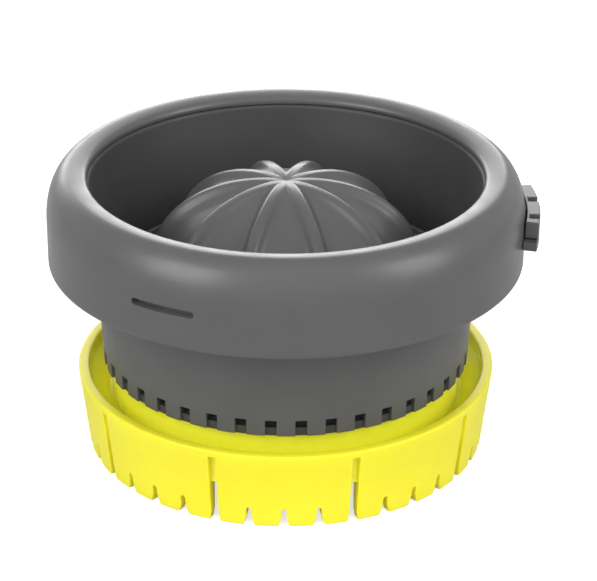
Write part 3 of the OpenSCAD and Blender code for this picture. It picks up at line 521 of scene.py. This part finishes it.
def lacquered_board(name):
    """Green circuit board: square copper runs under lacquer, from a brick pattern."""
    made, tree, shader = principled(name)
    place = tree.nodes.new("ShaderNodeTexCoord")
    runs = tree.nodes.new("ShaderNodeTexBrick")
    runs.inputs["Scale"].default_value = 250.0
    runs.inputs["Color1"].default_value = (0.015, 0.10, 0.04, 1)
    runs.inputs["Color2"].default_value = (0.02, 0.13, 0.05, 1)
    runs.inputs["Mortar"].default_value = (0.05, 0.22, 0.09, 1)
    runs.inputs["Mortar Size"].default_value = 0.06
    tree.links.new(place.outputs["Object"], runs.inputs["Vector"])
    tree.links.new(runs.outputs["Color"], shader.inputs["Base Color"])
    tree.links.new(spread(tree, noise(tree, 2.0), 0.25, 0.4), shader.inputs["Roughness"])
    return made


GREY = moulded(
    "grey_satin_plastic", (0.090, 0.090, 0.092), (0.098, 0.098, 0.100), rough=(0.30, 0.36),
    grain_mm=0.22, depth_mm=0.003, specular=0.38)
SKIRT_GREY = moulded(
    "grey_skirt_plastic", (0.089, 0.089, 0.091), (0.098, 0.098, 0.100), rough=(0.38, 0.46),
    grain_mm=0.22, depth_mm=0.003, specular=0.36)
# Darker copy of the grey moulding for the bowl's inside, skirt lining and floor: painted shade of the deep
# bowl. Its higher roughness is a matte finish.
BOWL_SHADE_GREY = moulded(
    "grey_bowl_painted_shade", (0.049, 0.049, 0.051), (0.055, 0.055, 0.057), rough=(0.46, 0.54),
    grain_mm=0.22, depth_mm=0.006, specular=0.3)
YELLOW = moulded(
    "yellow_gloss_plastic", (0.93, 0.83, 0.026), (0.96, 0.86, 0.032), rough=(0.36, 0.44),
    grain_mm=0.3, depth_mm=0.003, specular=0.36, seep_mm=3.0)
# Brighter, greener copy of the ring's yellow for the gutter and seat: painted light in the gutter, which
# lies in shade under the skirt, with the green cast of shaded yellow. Its lower roughness and higher
# specular are a polished finish.
GUTTER_LIT_YELLOW = moulded(
    "yellow_gutter_painted_light", (0.955, 0.940, 0.052), (0.97, 0.955, 0.060), rough=(0.32, 0.40),
    grain_mm=0.3, depth_mm=0.003, specular=0.5, seep_mm=3.0)
DARK = moulded(
    "dark_plastic", (0.030, 0.030, 0.032), (0.042, 0.042, 0.044), rough=(0.42, 0.52),
    grain_mm=0.3, depth_mm=0.008, mottle_mm=6.0)
NYLON = moulded(
    "natural_nylon", (0.66, 0.66, 0.61), (0.73, 0.73, 0.69), rough=(0.38, 0.48),
    grain_mm=0.4, depth_mm=0.006, mottle_mm=5.0)
ACETAL = moulded(
    "grey_acetal", (0.50, 0.50, 0.47), (0.57, 0.57, 0.54), rough=(0.35, 0.45),
    grain_mm=0.4, depth_mm=0.006, mottle_mm=5.0)
RUBBER = moulded(
    "black_rubber", (0.022, 0.022, 0.022), (0.034, 0.034, 0.034), rough=(0.62, 0.78),
    grain_mm=0.35, depth_mm=0.015, mottle_mm=4.0, specular=0.3)
# Smoked lens: its own dark tint, made darker still as painted shade of the slot it sits in.
SLOT_SHADE_LENS = moulded(
    "smoked_lens", (0.050, 0.050, 0.052), (0.060, 0.060, 0.062), rough=(0.16, 0.22),
    grain_mm=0.5, depth_mm=0.002, mottle_mm=5.0)
STEEL = machined("machined_steel", (0.46, 0.47, 0.49), (0.60, 0.61, 0.63), rough=(0.26, 0.38))
MAGNET = machined("coated_magnet", (0.05, 0.05, 0.055), (0.08, 0.08, 0.085), rough=(0.40, 0.55))
BRASS = machined("sintered_brass", (0.60, 0.43, 0.17), (0.72, 0.54, 0.24), rough=(0.30, 0.42))
COPPER = machined(
    "enamelled_copper", (0.62, 0.25, 0.10), (0.76, 0.36, 0.16), rough=(0.22, 0.32), line_mm=0.5)
BOARD = lacquered_board("lacquered_board")

SLOT_FINISH = {
    "grey_plastic": GREY, "yellow_plastic": YELLOW, "steel": STEEL, "magnet": MAGNET, "brass": BRASS,
    "copper": COPPER, "rubber": RUBBER, "nylon": NYLON, "acetal": ACETAL, "circuit_board": BOARD,
    "dark_plastic": DARK, "smoked_lens": SLOT_SHADE_LENS,
}


def dress_cad_nodes():
    """Each CAD node takes the finish of its slot in the record."""
    for row in frame["record"]["subparts"]:
        node = frame["nodes"][row["node"]]
        node.data.materials.clear()
        node.data.materials.append(SLOT_FINISH[row["material_slot"]])


# Base ring

def gutter_lean(z):
    """Radius of the gutter's upright wall at a height: a straight lean from its foot to the rim's round."""
    rim_in, rim_z = RIM_R - RIM_BAND, RING_H - RIM_ROUND
    return GUTTER_R + (rim_in - GUTTER_R) * (np.asarray(z) - GUTTER_WALL_Z) / (rim_z - GUTTER_WALL_Z)


def ring_wall():
    """Slotted outer wall: radius by height on two faces, with a cut at each step of CUT_PITCH from the
    front. A cut's half width falls in straight lines over its flared mouth, then stays, and a notch narrows
    at its top. The back face is the socket, then the groove behind the long slits, then the gutter's lean to
    the rim."""
    z = in_order(MOUTH_Z, [NOTCH_H - NOTCH_W / 2, NOTCH_H, SOCKET_DEPTH, SOCKET_DEPTH + SOCKET_STEP,
                           SLIT_TOP, LEAN_Z], RING_ROWS)
    low = RING_H - RIM_ROUND
    out_c, in_c = RIM_R - RIM_ROUND, RIM_R - RIM_BAND + RIM_ROUND
    middle = [[(out_c + in_c) / 2, RING_H]]
    out_r = FOOT_R + (RIM_R - FOOT_R) * z / low
    in_r = np.where(z <= SOCKET_DEPTH, SOCKET_R, np.where(z <= SLIT_TOP, GROOVE_R - OVERLAP, gutter_lean(z)))
    out_round = arc((out_c, low), RIM_ROUND, 0, 90, ROUND_STEPS)
    in_round = arc((in_c, low), RIM_ROUND, 180, 90, ROUND_STEPS)
    outer = np.concatenate([np.stack([out_r, z], -1), out_round, middle])
    inner = np.concatenate([np.stack([in_r, z], -1), in_round, middle])
    step = np.arange(CUTS) - CUTS // 2
    is_slit = (np.abs(step) % SLIT_EVERY == SLIT_EVERY // 2)[:, None]
    row_z = outer[None, :, 1]
    width = np.where(is_slit, SLIT_W, np.where(row_z >= NOTCH_H, NOTCH_TIP * NOTCH_W, NOTCH_W))
    mouth = np.interp(row_z, MOUTH_Z, MOUTH_SHARE)
    half = np.degrees((MOUTH_W + (width - MOUTH_W) * mouth) / 2 / RIM_R)
    az, in_cut = cell_angles(CUTS, FRONT + step[0] * CUT_PITCH, half, pitch=CUT_PITCH)
    top = np.repeat(np.where(is_slit, SLIT_TOP, NOTCH_H), len(in_cut) // CUTS)[:, None]
    keep = ~(in_cut[:, None] & (row_z[:, 1:] <= top + TINY))
    return turned_wall(outer, inner, az, keep)


def ring_gutter():
    """Gutter: its upright wall, slope and floor over the socket's ceiling, a rounded outline turned about
    the axis."""
    corners = [(SEAT_IN_R, SOCKET_DEPTH), (GROOVE_R, SOCKET_DEPTH), (GROOVE_R, LEAN_Z - CHAMFER),
               (gutter_lean(LEAN_Z) + OVERLAP, LEAN_Z), (GUTTER_R, GUTTER_WALL_Z),
               (SLOPE_FOOT_R, GUTTER_Z + GUTTER_FALL), (SEAT_R - SINK, GUTTER_Z), (SEAT_IN_R, GUTTER_Z)]
    rounds = [CHAMFER, 0, 0, 0, GUTTER_ROUND, GUTTER_ROUND, 0, CHAMFER]
    return revolve(rounded(corners, rounds, 4))


def ring_seat():
    """Seat wall with its locating lip: two faces by height, with an arch cut through in each bay of the back
    half. The inside goes straight up, so its row at the lip's foot is raised a little to stay a row."""
    z = np.array([GUTTER_Z - SEAT_SINK, GUTTER_Z, GUTTER_Z + ARCH_H, SEAT_ROW_Z, SEAT_Z - CHAMFER, SEAT_Z,
                  SEAT_Z, SEAT_TOP - CHAMFER, SEAT_TOP])
    lip_foot = 6
    out_r = [SEAT_R] * 5 + [SEAT_R - CHAMFER, SEAT_LIP_R, SEAT_LIP_R, SEAT_LIP_R - CHAMFER]
    in_r = [SEAT_IN_R] * 8 + [SEAT_IN_R + CHAMFER]
    outer = np.stack([out_r, z], -1)
    inner = np.stack([in_r, z], -1)
    inner[lip_foot, 1] += SINK
    half = np.full((1, len(z)), np.degrees(ARCH_W / 2 / SEAT_R))
    az, in_cut = cell_angles(SEAT_BAYS, 180 / SEAT_BAYS, half, sides=6, middle=8)
    in_cut = in_cut & np.repeat(np.arange(SEAT_BAYS) < ARCHES, len(in_cut) // SEAT_BAYS)
    in_arch = (z[:-1] >= GUTTER_Z - TINY) & (z[1:] <= GUTTER_Z + ARCH_H + TINY)
    return turned_wall(outer, inner, az, ~(in_cut[:, None] & in_arch[None, :]))


# Bowl

def skirt_r(z):
    """Outer radius of the skirt at a height: a straight taper."""
    share = (np.asarray(z) - SKIRT_Z) / (SKIRT_TOP_Z - SKIRT_Z)
    return SKIRT_FOOT_R + (SKIRT_TOP_R - SKIRT_FOOT_R) * share


def bowl_in_r(z):
    """Inner radius of the bowl above the skirt: a straight flare to the mouth."""
    foot = SKIRT_TOP_R - BOWL_WALL
    return foot + (BOWL_MOUTH_R - foot) * (np.asarray(z) - SKIRT_TOP_Z) / (BOWL_MOUTH_Z - SKIRT_TOP_Z)


def window_columns(row_count):
    """Columns of the skirt's grid, with a window in the middle of each cell."""
    half = np.full((1, row_count), np.degrees(WINDOW_W / 2 / SKIRT_FOOT_R))
    return cell_angles(WINDOWS, FRONT + WINDOW_TURN + 180 / WINDOWS, half)


def skirt_skin():
    """Outer skin of the skirt, as deep as the windows' notches, which are open at the foot."""
    z = in_order([SKIRT_Z, SILL_Z, WINDOW_TOP, SKIRT_TOP_Z, FLANGE_Z + SINK], SKIN_ROWS)
    az, in_cut = window_columns(len(z))
    keep = ~(in_cut[:, None] & (z[None, 1:] <= WINDOW_TOP + TINY))
    out_r = skirt_r(z)
    return walled(polar(out_r, z, az), polar(out_r - WINDOW_DEPTH, z, az), keep)


def bowl_wall():
    """Inner shell: the skirt behind its skin, with a hole above each sill, and the flared bowl with a round
    mouth."""
    z = in_order([bowl_low[2], SILL_Z, WINDOW_TOP, SKIRT_TOP_Z, FLANGE_Z + FLANGE_T], BOWL_ROWS)
    mouth_r = BOWL_WALL / 2
    centre = (BOWL_MOUTH_R + mouth_r, BOWL_MOUTH_Z - mouth_r)
    skirt = z <= SKIRT_TOP_Z
    out_r = np.where(skirt, skirt_r(z) - WINDOW_DEPTH + OVERLAP, bowl_in_r(z) + BOWL_WALL)
    in_r = np.where(z < SILL_Z - TINY, SEAT_RING_R, np.where(skirt, skirt_r(z) - BOWL_WALL, bowl_in_r(z)))
    outer = np.concatenate([np.stack([out_r, z], -1), arc(centre, mouth_r, 0, 90, ROUND_STEPS)])
    inner = np.concatenate([np.stack([in_r, z], -1), arc(centre, mouth_r, 180, 90, ROUND_STEPS)])
    az, in_cut = window_columns(len(outer))
    in_hole = (outer[:-1, 1] >= SILL_Z - TINY) & (outer[1:, 1] <= WINDOW_TOP + TINY)
    return turned_wall(outer, inner, az, ~(in_cut[:, None] & in_hole[None, :]))


def bowl_rings():
    """Floor cone, strainer ledge and collar flange, each a rounded outline turned about the axis."""
    middle = housing_high[0] - FLOOR_LAP
    out = SKIRT_FOOT_R - BOWL_WALL + SINK
    floor = rounded([(middle, SILL_Z + FLOOR_RISE - FLOOR_T), (out, SILL_Z - FLOOR_T), (out, SILL_Z),
                     (middle, SILL_Z + FLOOR_RISE)], SMALL_ROUND, 2)
    wall_r = skirt_r(LEDGE_Z) - BOWL_WALL
    ledge = rounded([(wall_r + SINK, LEDGE_Z - 2 * LEDGE_W), (wall_r + SINK, LEDGE_Z),
                     (wall_r - LEDGE_W, LEDGE_Z)], [0, 0, SMALL_ROUND], 2)
    flange_r = COLLAR_R - COLLAR_WALL - OVERLAP
    flange_in = SKIRT_TOP_R - FLANGE_LAP
    flange = rounded([(flange_in, FLANGE_Z), (flange_r, FLANGE_Z), (flange_r, FLANGE_Z + FLANGE_T),
                      (flange_in, FLANGE_Z + FLANGE_T)], CHAMFER, 2)
    return joined(revolve(floor), revolve(ledge), revolve(flange))


def upright_bar(x_half, y0, y1, z0, z1, r):
    """Bar of rounded cross-section in x and y, carried up from z0 to z1. Its lower end is drawn in by a
    quarter round of radius r."""
    section = rounded([(-x_half, y0), (x_half, y0), (x_half, y1), (-x_half, y1)], r, 4)
    middle = np.array([0, (y0 + y1) / 2])
    reach = np.array([x_half, (y1 - y0) / 2])
    t = np.radians(np.linspace(0, 90, 5))
    z = np.append(z0 + r * (1 - np.cos(t)), z1)
    inset = np.append(r * (1 - np.sin(t)), 0)
    share = (reach - inset[:, None]) / reach
    flat = (section - middle) * share[:, None, :] + middle
    return sweep(np.concatenate([flat, np.broadcast_to(z[:, None, None], (*flat.shape[:2], 1))], -1))


def wire_duct():
    """Rib down the skirt's back and spoke over the floor that carry the wires."""
    rib = upright_bar(DUCT_HALF_W, SKIRT_TOP_R - BOWL_WALL + SINK, DUCT_OUT_Y, DUCT_FOOT_Z, FLANGE_Z + SINK,
                      DUCT_ROUND)
    spoke = rounded([(-DUCT_HALF_W, SILL_Z), (DUCT_HALF_W, SILL_Z), (DUCT_HALF_W, SPOKE_TOP_Z),
                     (-DUCT_HALF_W, SPOKE_TOP_Z)], [0, 0, SPOKE_ROUND, SPOKE_ROUND], 4)
    y = np.array([housing_high[0] - SPOKE_LAP, SKIRT_FOOT_R - BOWL_WALL + 2 * SINK])
    bar = np.stack(np.broadcast_arrays(spoke[None, :, 0], y[:, None], spoke[None, :, 1]), -1)
    return joined(rib, sweep(bar))


# Collar

def collar_shell():
    """Rolled collar: its outline is the wall, a quarter of the roll's ellipse, a top that dips as a parabola
    to the slope TOP_DIP, the round lip, the hook over the bowl's mouth and the inside of the roll, turned
    about the axis."""
    roll = (COLLAR_R - ROLL_W, COLLAR_TOP - ROLL_H)
    dip = math.radians(TOP_DIP)
    top_w = roll[0] - OPENING_R - LIP_ROUND * (1 - math.sin(dip))
    fall = top_w * math.tan(dip) / 2
    share = np.linspace(0, 1, 9)[1:-1]
    top = np.stack([roll[0] - top_w * share, COLLAR_TOP - fall * share ** 2], -1)
    lip = (OPENING_R + LIP_ROUND, COLLAR_TOP - fall - LIP_ROUND * math.cos(dip))
    in_r = COLLAR_R - COLLAR_WALL
    lip_z = COLLAR_TOP - LIP_H
    hook_in = BOWL_MOUTH_R + BOWL_WALL + HOOK_GAP
    hook_out = hook_in + HOOK_T
    wall_z = np.linspace(COLLAR_Z + COLLAR_EDGE + 1, roll[1] - 1, COLLAR_ROWS)
    outline = np.concatenate([
        [[in_r, COLLAR_Z + COLLAR_FOOT_BREAK], [in_r + COLLAR_FOOT_BREAK, COLLAR_Z]],
        arc((COLLAR_R - COLLAR_EDGE, COLLAR_Z + COLLAR_EDGE), COLLAR_EDGE, -90, 0, 5),
        np.stack([np.full(COLLAR_ROWS, COLLAR_R), wall_z], -1),
        oval(roll, ROLL_W, ROLL_H, 0, 90, 28),
        top,
        arc(lip, LIP_ROUND, 90 + TOP_DIP, 180, 10),
        [[OPENING_R, lip_z + CHAMFER], [OPENING_R + CHAMFER, lip_z], [hook_in, lip_z],
         [hook_in, lip_z - LIP_H], [hook_out, lip_z - LIP_H], [hook_out, COLLAR_TOP - COLLAR_WALL]],
        oval(roll, ROLL_W - COLLAR_WALL, ROLL_H - COLLAR_WALL, 90, 0, 12),
        np.stack([np.full(COLLAR_ROWS, in_r), wall_z[::-1]], -1),
    ])
    return revolve(outline, 360)


def light_slot():
    """Cutter for the light slot: a round-ended outline carried straight out through the collar's wall."""
    r = SLOT_H / 2
    end = SLOT_LEN / 2 - r
    outline = np.concatenate([arc((end, 0), r, -90, 90, 10), arc((-end, 0), r, 90, 270, 10)])
    a = math.radians(SLOT_AZ)
    out = np.array([math.cos(a), math.sin(a), 0])
    side = np.array([-math.sin(a), math.cos(a), 0])
    ring = outline[:, :1] * side + outline[:, 1:] * np.array([0, 0, 1.0]) + np.array([0, 0, SLOT_Z])
    r_in, r_out = COLLAR_R - COLLAR_WALL - 2 * CUT_PAST, COLLAR_R + CUT_PAST
    return sweep(np.stack([ring + out * r_in, ring + out * r_out]))


def arc_bar(r_in, r_out, z0, z1, azimuth, length, columns=12):
    """Bar of rectangular section carried round the axis over a length measured at the collar's surface."""
    half = math.degrees(length / 2 / COLLAR_R)
    az = azimuth + np.linspace(-half, half, columns)
    section = np.array([(r_in, z0), (r_out, z0), (r_out, z1), (r_in, z1)])
    return sweep(polar(section[:, 0], section[:, 1], az[:, None]))


def stem_slot():
    """Cutter for the slot that the slider's stem runs in."""
    half_h = STEM_HALF_H + STEM_PLAY
    return arc_bar(COLLAR_R - COLLAR_WALL - CUT_PAST, COLLAR_R + CUT_PAST, STEM_Z - half_h, STEM_Z + half_h,
                   SLIDER_AZ, STEM_LEN + STEM_TRAVEL)


def turned_out(outline, turns=64):
    """An outline of (radius, distance) turned about the inlet's own axis, which points to the back."""
    az = np.radians(np.arange(turns) * 360 / turns)[:, None]
    r, y = outline[None, :, 0], outline[None, :, 1]
    return loop_grid(np.stack(np.broadcast_arrays(r * np.cos(az), y, INLET_Z + r * np.sin(az)), -1))


def inlet_hole():
    """Cutter for the inlet: the barrel's hole and the flange's seat."""
    hole_r, seat_r = INLET_BARREL_R + OVERLAP, INLET_FLANGE_R + OVERLAP
    past = COLLAR_R + 2 * CUT_PAST
    return turned_out(np.array([(AXIS_R, INLET_HOLE_Y), (hole_r, INLET_HOLE_Y), (hole_r, INLET_SEAT_Y),
                                (seat_r, INLET_SEAT_Y), (seat_r, past), (AXIS_R, past)]))


def inlet_socket():
    """Round power socket: a flange, a barrel and a bore with a floor, in one turned outline."""
    face, back = inlet_high[1], inlet_low[1]
    under, floor = face - INLET_FLANGE_T, back + INLET_FLOOR_T
    return turned_out(rounded(
        [(INLET_BORE_R, face), (INLET_FLANGE_R, face), (INLET_FLANGE_R, under), (INLET_BARREL_R, under),
         (INLET_BARREL_R, back), (PIN_R, back), (PIN_R, floor), (INLET_BORE_R, floor)],
        [CHAMFER, CHAMFER, 0, 0, SMALL_ROUND, SMALL_ROUND, 0, 0], 3))


def inlet_pin():
    """Contact pin of the socket, with a round tip."""
    foot, tip = inlet_low[1] + PIN_SUNK, inlet_high[1] - PIN_SET_BACK
    return turned_out(rounded([(AXIS_R, foot), (PIN_R, foot), (PIN_R, tip), (AXIS_R, tip)],
                              [0, 0, PIN_ROUND, 0], 3))


# Reamer and strainer

def reamer_shell():
    """Reamer dome on azimuth and climb t. Radius is r cos(t) to the power BELL_POWER and height h sin(t),
    pushed out by the ribs: a smooth ridge across each rib times sin(2t), so the ribs fade at the foot and
    the tip. The inside is the plain dome, and a hub hangs from its top."""
    t = np.radians(np.concatenate([[0], np.linspace(0, 90, REAMER_STEPS)]))
    turns = REAMER_RIBS * REAMER_STEPS
    az = np.arange(turns) * 360 / turns
    dome_z = reamer_low[2] + REAMER_SKIRT
    lift = np.concatenate([[-REAMER_SKIRT], np.zeros(REAMER_STEPS)])
    bell = np.cos(t) ** BELL_POWER
    bell[-1] = 0.0
    bell_r = REAMER_R * bell
    near = np.abs((az + 180 / REAMER_RIBS) % (360 / REAMER_RIBS) - 180 / REAMER_RIBS)
    across = np.radians(near)[:, None] * np.maximum(bell_r, REAMER_RIB_TIP_R)
    ridge = 1 / (1 + (across / (REAMER_RIB_FLAT * REAMER_RIB_W)) ** 4)
    push = REAMER_RIB_H * np.sin(2 * t) * ridge
    outer_z = dome_z + REAMER_RISE * np.sin(t) + lift + push * np.sin(t)
    outer = polar(bell_r + push * np.cos(t), outer_z, az[:, None])
    in_rise = REAMER_RISE - REAMER_WALL
    inner = polar((REAMER_R - REAMER_WALL) * bell, dome_z + in_rise * np.sin(t) + lift, az[:, None])
    shell = walled(outer, inner, np.ones((turns, REAMER_STEPS), bool))
    hub_top = dome_z + in_rise
    hub = rounded([(HUB_IN_R, HUB_Z), (HUB_R, HUB_Z), (HUB_R, hub_top), (HUB_IN_R, hub_top)],
                  [SMALL_ROUND, HUB_ROUND, 0, 0], 3)
    return joined(shell, revolve(hub, 96))


def strainer_plate():
    """Slotted ring plate on azimuth and radius, with a raised ring at each edge. Slot edges run parallel, so
    the half angle of a slot is its half width over the radius."""
    foot, top = strainer_low[2], strainer_high[2]
    plate, broken = foot + STRAINER_T, top - CHAMFER
    out_ring, in_ring = STRAINER_R - STRAINER_RING_W, STRAINER_IN_R + STRAINER_RING_W
    slot_out, slot_in = out_ring - LEDGE_W, in_ring + STRAINER_BORDER
    line = np.array([
        (STRAINER_R, broken), (STRAINER_R - CHAMFER, top), (out_ring + CHAMFER, top), (out_ring, broken),
        (out_ring, plate), (slot_out, plate), ((slot_out + slot_in) / 2, plate), (slot_in, plate),
        (in_ring, plate), (in_ring, broken), (in_ring - CHAMFER, top), (STRAINER_IN_R + CHAMFER, top),
        (STRAINER_IN_R, broken)])
    r = line[:, 0]
    half = np.degrees(STRAINER_SLOT_W / 2 / r)[None, :]
    az, in_cut = cell_angles(STRAINER_SLOTS, 180 / STRAINER_SLOTS, half, sides=2)
    in_slot = (r[:-1] <= slot_out + TINY) & (r[1:] >= slot_in - TINY)
    under = np.stack([r, np.full(len(r), foot)], -1)
    return turned_wall(line, under, az, ~(in_cut[:, None] & in_slot[None, :]))


# Slider

def slider_grip():
    """Ribbed thumb piece: a section of radius and height carried round the collar. Between ribs the outer
    part of the section drops to the groove's floor, and a pair of columns at each rib's edge makes its side.
    A stem goes in through the collar."""
    wide = (SLIDER_LEN - GRIP_END - 3 * GRIP_GAP) / 2
    lengths = np.array([GRIP_END, GRIP_GAP, wide, GRIP_GAP, wide, GRIP_GAP])
    starts = np.cumsum(lengths) - lengths - SLIDER_LEN / 2
    stops = starts[:, None] + lengths[:, None] * np.linspace(0, 1, 4)
    groove_z = SLIDER_TOP - GRIP_CUT
    is_rib = np.arange(len(lengths)) % 2 == 0
    top = np.repeat(np.where(is_rib, SLIDER_TOP, groove_z), stops.shape[1])
    az = SLIDER_AZ + np.degrees(stops.ravel() / COLLAR_R)
    web_r = SLIDER_IN_R + GRIP_WEB
    r = np.array([SLIDER_IN_R, SLIDER_R, SLIDER_R, SLIDER_R, web_r, web_r, SLIDER_IN_R])
    z = np.tile([SLIDER_Z, SLIDER_Z, groove_z, groove_z, groove_z, SLIDER_TOP, SLIDER_TOP], (len(top), 1))
    z[:, 3:5] = top[:, None]
    stem = arc_bar(STEM_IN_R, SLIDER_IN_R + SINK, STEM_Z - STEM_HALF_H, STEM_Z + STEM_HALF_H, SLIDER_AZ,
                   STEM_LEN, 6)
    return joined(sweep(polar(r, z, az[:, None])), stem)


def slider_track():
    """Rail under the slider, on the collar's wall."""
    return arc_bar(COLLAR_R + OVERLAP, SLIDER_R, rail_low[2], rail_high[2], SLIDER_AZ, RAIL_LEN, 24)


def build_juicer():
    """All modelled pieces, in place of their CAD nodes."""
    piece("base_ring_wall", ring_wall(), "base", YELLOW, RING_EDGE, ["base_ring"])
    # The gutter wears the brighter, greener yellow, painted light in the skirt's shade.
    piece("base_ring_gutter", joined(ring_gutter(), ring_seat()), "base", GUTTER_LIT_YELLOW,
          RING_EDGE)
    piece("bowl_skin", skirt_skin(), "head", SKIRT_GREY, FINE_EDGE)
    # The bowl shell wears the darker grey, painted shade of the bowl's inside.
    piece("bowl_shell", joined(bowl_wall(), bowl_rings(), wire_duct()), "head", BOWL_SHADE_GREY,
          replaces=["bowl"])
    collar = piece("collar_shell", collar_shell(), "head", GREY, replaces=["rim_collar"])
    cut_away(collar, light_slot(), stem_slot(), inlet_hole())
    piece("reamer_dome", reamer_shell(), "reamer", GREY, replaces=["reamer"],
          sharp=REAMER_SHARP)
    piece("strainer_plate", strainer_plate(), "strainer", GREY, FINE_EDGE, ["strainer"])
    piece("slider_grip", slider_grip(), "slider", GREY, SLIDER_EDGE, ["power_slider"])
    piece("slider_track", slider_track(), "head", GREY, SLIDER_EDGE, ["slider_rail"])
    piece("inlet_socket", inlet_socket(), "head", DARK, replaces=["power_inlet"])
    piece("inlet_pin", inlet_pin(), "head", BRASS)


# Stage

CAMERA_RISE = 25.741
CAMERA_AWAY = 639.17
CAMERA_ROLL = 0.30
CAMERA_AIM = (3.45, 0.0, 41.82)
FOCAL_PX = 2343.3
PHOTO_W = 597.0
SENSOR = 36.0
FRONT_LIGHT = 1.52
BACK_LIGHT = 0.12
STAGE_REACH = 6.0
STAGE_GREY = 0.72
STAGE_LIFT = 0.70
STAGE_GLOSS = 0.1
LAMP_AIM = (0.0, 0.0, 0.05)


def world_matrix(x, y, z, place):
    """Matrix of an object with the given axes, at a place in metres."""
    turn = np.eye(4)
    turn[:3, :] = np.stack([x, y, z, place], -1)
    return Matrix(turn.tolist())


def set_camera():
    """Camera at the photograph's angle: it looks along +Y and down by CAMERA_RISE, turned by CAMERA_ROLL."""
    rise, roll = math.radians(CAMERA_RISE), math.radians(CAMERA_ROLL)
    ahead = np.array([0, math.cos(rise), -math.sin(rise)])
    level = np.array([1.0, 0, 0])
    up = np.cross(level, ahead)
    right = math.cos(roll) * level + math.sin(roll) * up
    over = -math.sin(roll) * level + math.cos(roll) * up
    data = bpy.data.cameras.new("camera")
    data.sensor_width = SENSOR
    data.lens = FOCAL_PX / PHOTO_W * SENSOR
    data.clip_start, data.clip_end = 0.01, 100.0
    camera = bpy.data.objects.new("camera", data)
    place = (np.array(CAMERA_AIM) - ahead * CAMERA_AWAY) * MM
    camera.matrix_world = world_matrix(right, over, -ahead, place)
    bpy.context.scene.collection.objects.link(camera)
    bpy.context.scene.camera = camera


def area_light(name, place, size, power, aim=LAMP_AIM, gloss=True, matte=True):
    """Soft box of size (width, height) in metres that faces the point aim. It may light gloss or matte
    surfaces alone."""
    data = bpy.data.lights.new(name, "AREA")
    data.shape = "RECTANGLE"
    data.size, data.size_y = size
    data.energy = power
    made = bpy.data.objects.new(name, data)
    back = np.subtract(place, aim)
    z = back / np.linalg.norm(back)
    x = np.cross([0, 0, 1.0], z)
    x = x / np.linalg.norm(x)
    made.matrix_world = world_matrix(x, np.cross(z, x), z, place)
    made.visible_glossy, made.visible_diffuse = gloss, matte
    bpy.context.scene.collection.objects.link(made)


def sight(tree, gloss_share):
    """1 for rays that look straight or through glass, gloss_share for those that look in a gloss, else 0."""
    path = tree.nodes.new("ShaderNodeLightPath")
    gloss = tree.nodes.new("ShaderNodeMath")
    gloss.operation = "MULTIPLY"
    gloss.inputs[1].default_value = gloss_share
    tree.links.new(path.outputs["Is Glossy Ray"], gloss.inputs[0])
    made = gloss.outputs["Value"]
    for kind in ("Is Camera Ray", "Is Transmission Ray"):
        either = tree.nodes.new("ShaderNodeMath")
        either.operation = "MAXIMUM"
        tree.links.new(made, either.inputs[0])
        tree.links.new(path.outputs[kind], either.inputs[1])
        made = either.outputs["Value"]
    return made


def set_floor():
    """Pale floor that keeps the shadow, lifted to white where it is looked at."""
    mesh = bpy.data.meshes.new("floor")
    corners = np.array([(-1, -1, 0), (1, -1, 0), (1, 1, 0), (-1, 1, 0)]) * STAGE_REACH
    mesh.from_pydata(corners.tolist(), [], [(0, 1, 2, 3)])
    floor = bpy.data.objects.new("floor", mesh)
    bpy.context.scene.collection.objects.link(floor)
    made, tree, shader = principled("pale_floor")
    shader.inputs["Base Color"].default_value = (STAGE_GREY, STAGE_GREY, STAGE_GREY, 1)
    shader.inputs["Roughness"].default_value = 0.9
    shader.inputs["Specular IOR Level"].default_value = 0.0
    shader.inputs["Emission Color"].default_value = (1, 1, 1, 1)
    lift = tree.nodes.new("ShaderNodeMath")
    lift.operation = "MULTIPLY"
    lift.inputs[1].default_value = STAGE_LIFT
    tree.links.new(sight(tree, STAGE_GLOSS), lift.inputs[0])
    tree.links.new(lift.outputs["Value"], shader.inputs["Emission Strength"])
    mesh.materials.append(made)


def set_world():
    """World that is white to look at and, as light, falls from FRONT_LIGHT at the camera's side to
    BACK_LIGHT at the sides and behind."""
    world = bpy.data.worlds.new("studio")
    bpy.context.scene.world = world
    world.use_nodes = True
    tree = world.node_tree
    sky = tree.nodes["Background"]
    sky.inputs["Color"].default_value = (1, 1, 1, 1)
    way = tree.nodes.new("ShaderNodeTexCoord")
    axes = tree.nodes.new("ShaderNodeSeparateXYZ")
    tree.links.new(way.outputs["Generated"], axes.inputs["Vector"])
    ahead = tree.nodes.new("ShaderNodeMapRange")
    ahead.inputs["From Min"].default_value = -1.0
    ahead.inputs["From Max"].default_value = 0.0
    ahead.inputs["To Min"].default_value = FRONT_LIGHT
    ahead.inputs["To Max"].default_value = BACK_LIGHT
    tree.links.new(axes.outputs["Y"], ahead.inputs["Value"])
    level = tree.nodes.new("ShaderNodeMapRange")
    tree.links.new(ahead.outputs["Result"], level.inputs["To Min"])
    level.inputs["To Max"].default_value = 1.0
    tree.links.new(sight(tree, 1.0), level.inputs["Value"])
    tree.links.new(level.outputs["Result"], sky.inputs["Strength"])


def set_lamps():
    """Two cards behind for the collar's top, and at each side a box for the gloss on its shoulder and a
    higher one for matte light."""
    area_light("back_card", (-0.15, 1.1, 0.34), (1.0, 0.36), 6.0, aim=(-0.15, 0.0, 0.34))
    area_light("left_card", (-0.66, 0.94, 0.26), (0.3, 0.4), 0.4)
    area_light("left_box", (-0.74, -0.67, 0.46), (0.6, 0.6), 6.3, matte=False)
    area_light("right_box", (0.92, -0.45, 0.47), (0.45, 0.6), 4.5, matte=False)
    area_light("left_fill", (-0.68, -0.51, 0.76), (0.45, 0.6), 5.2, gloss=False)
    area_light("right_fill", (0.76, -0.37, 0.76), (0.45, 0.6), 4.9, gloss=False)


set_camera()
dress_cad_nodes()
build_juicer()
set_floor()
set_world()
set_lamps()
bpy.context.scene.view_settings.view_transform = "Standard"
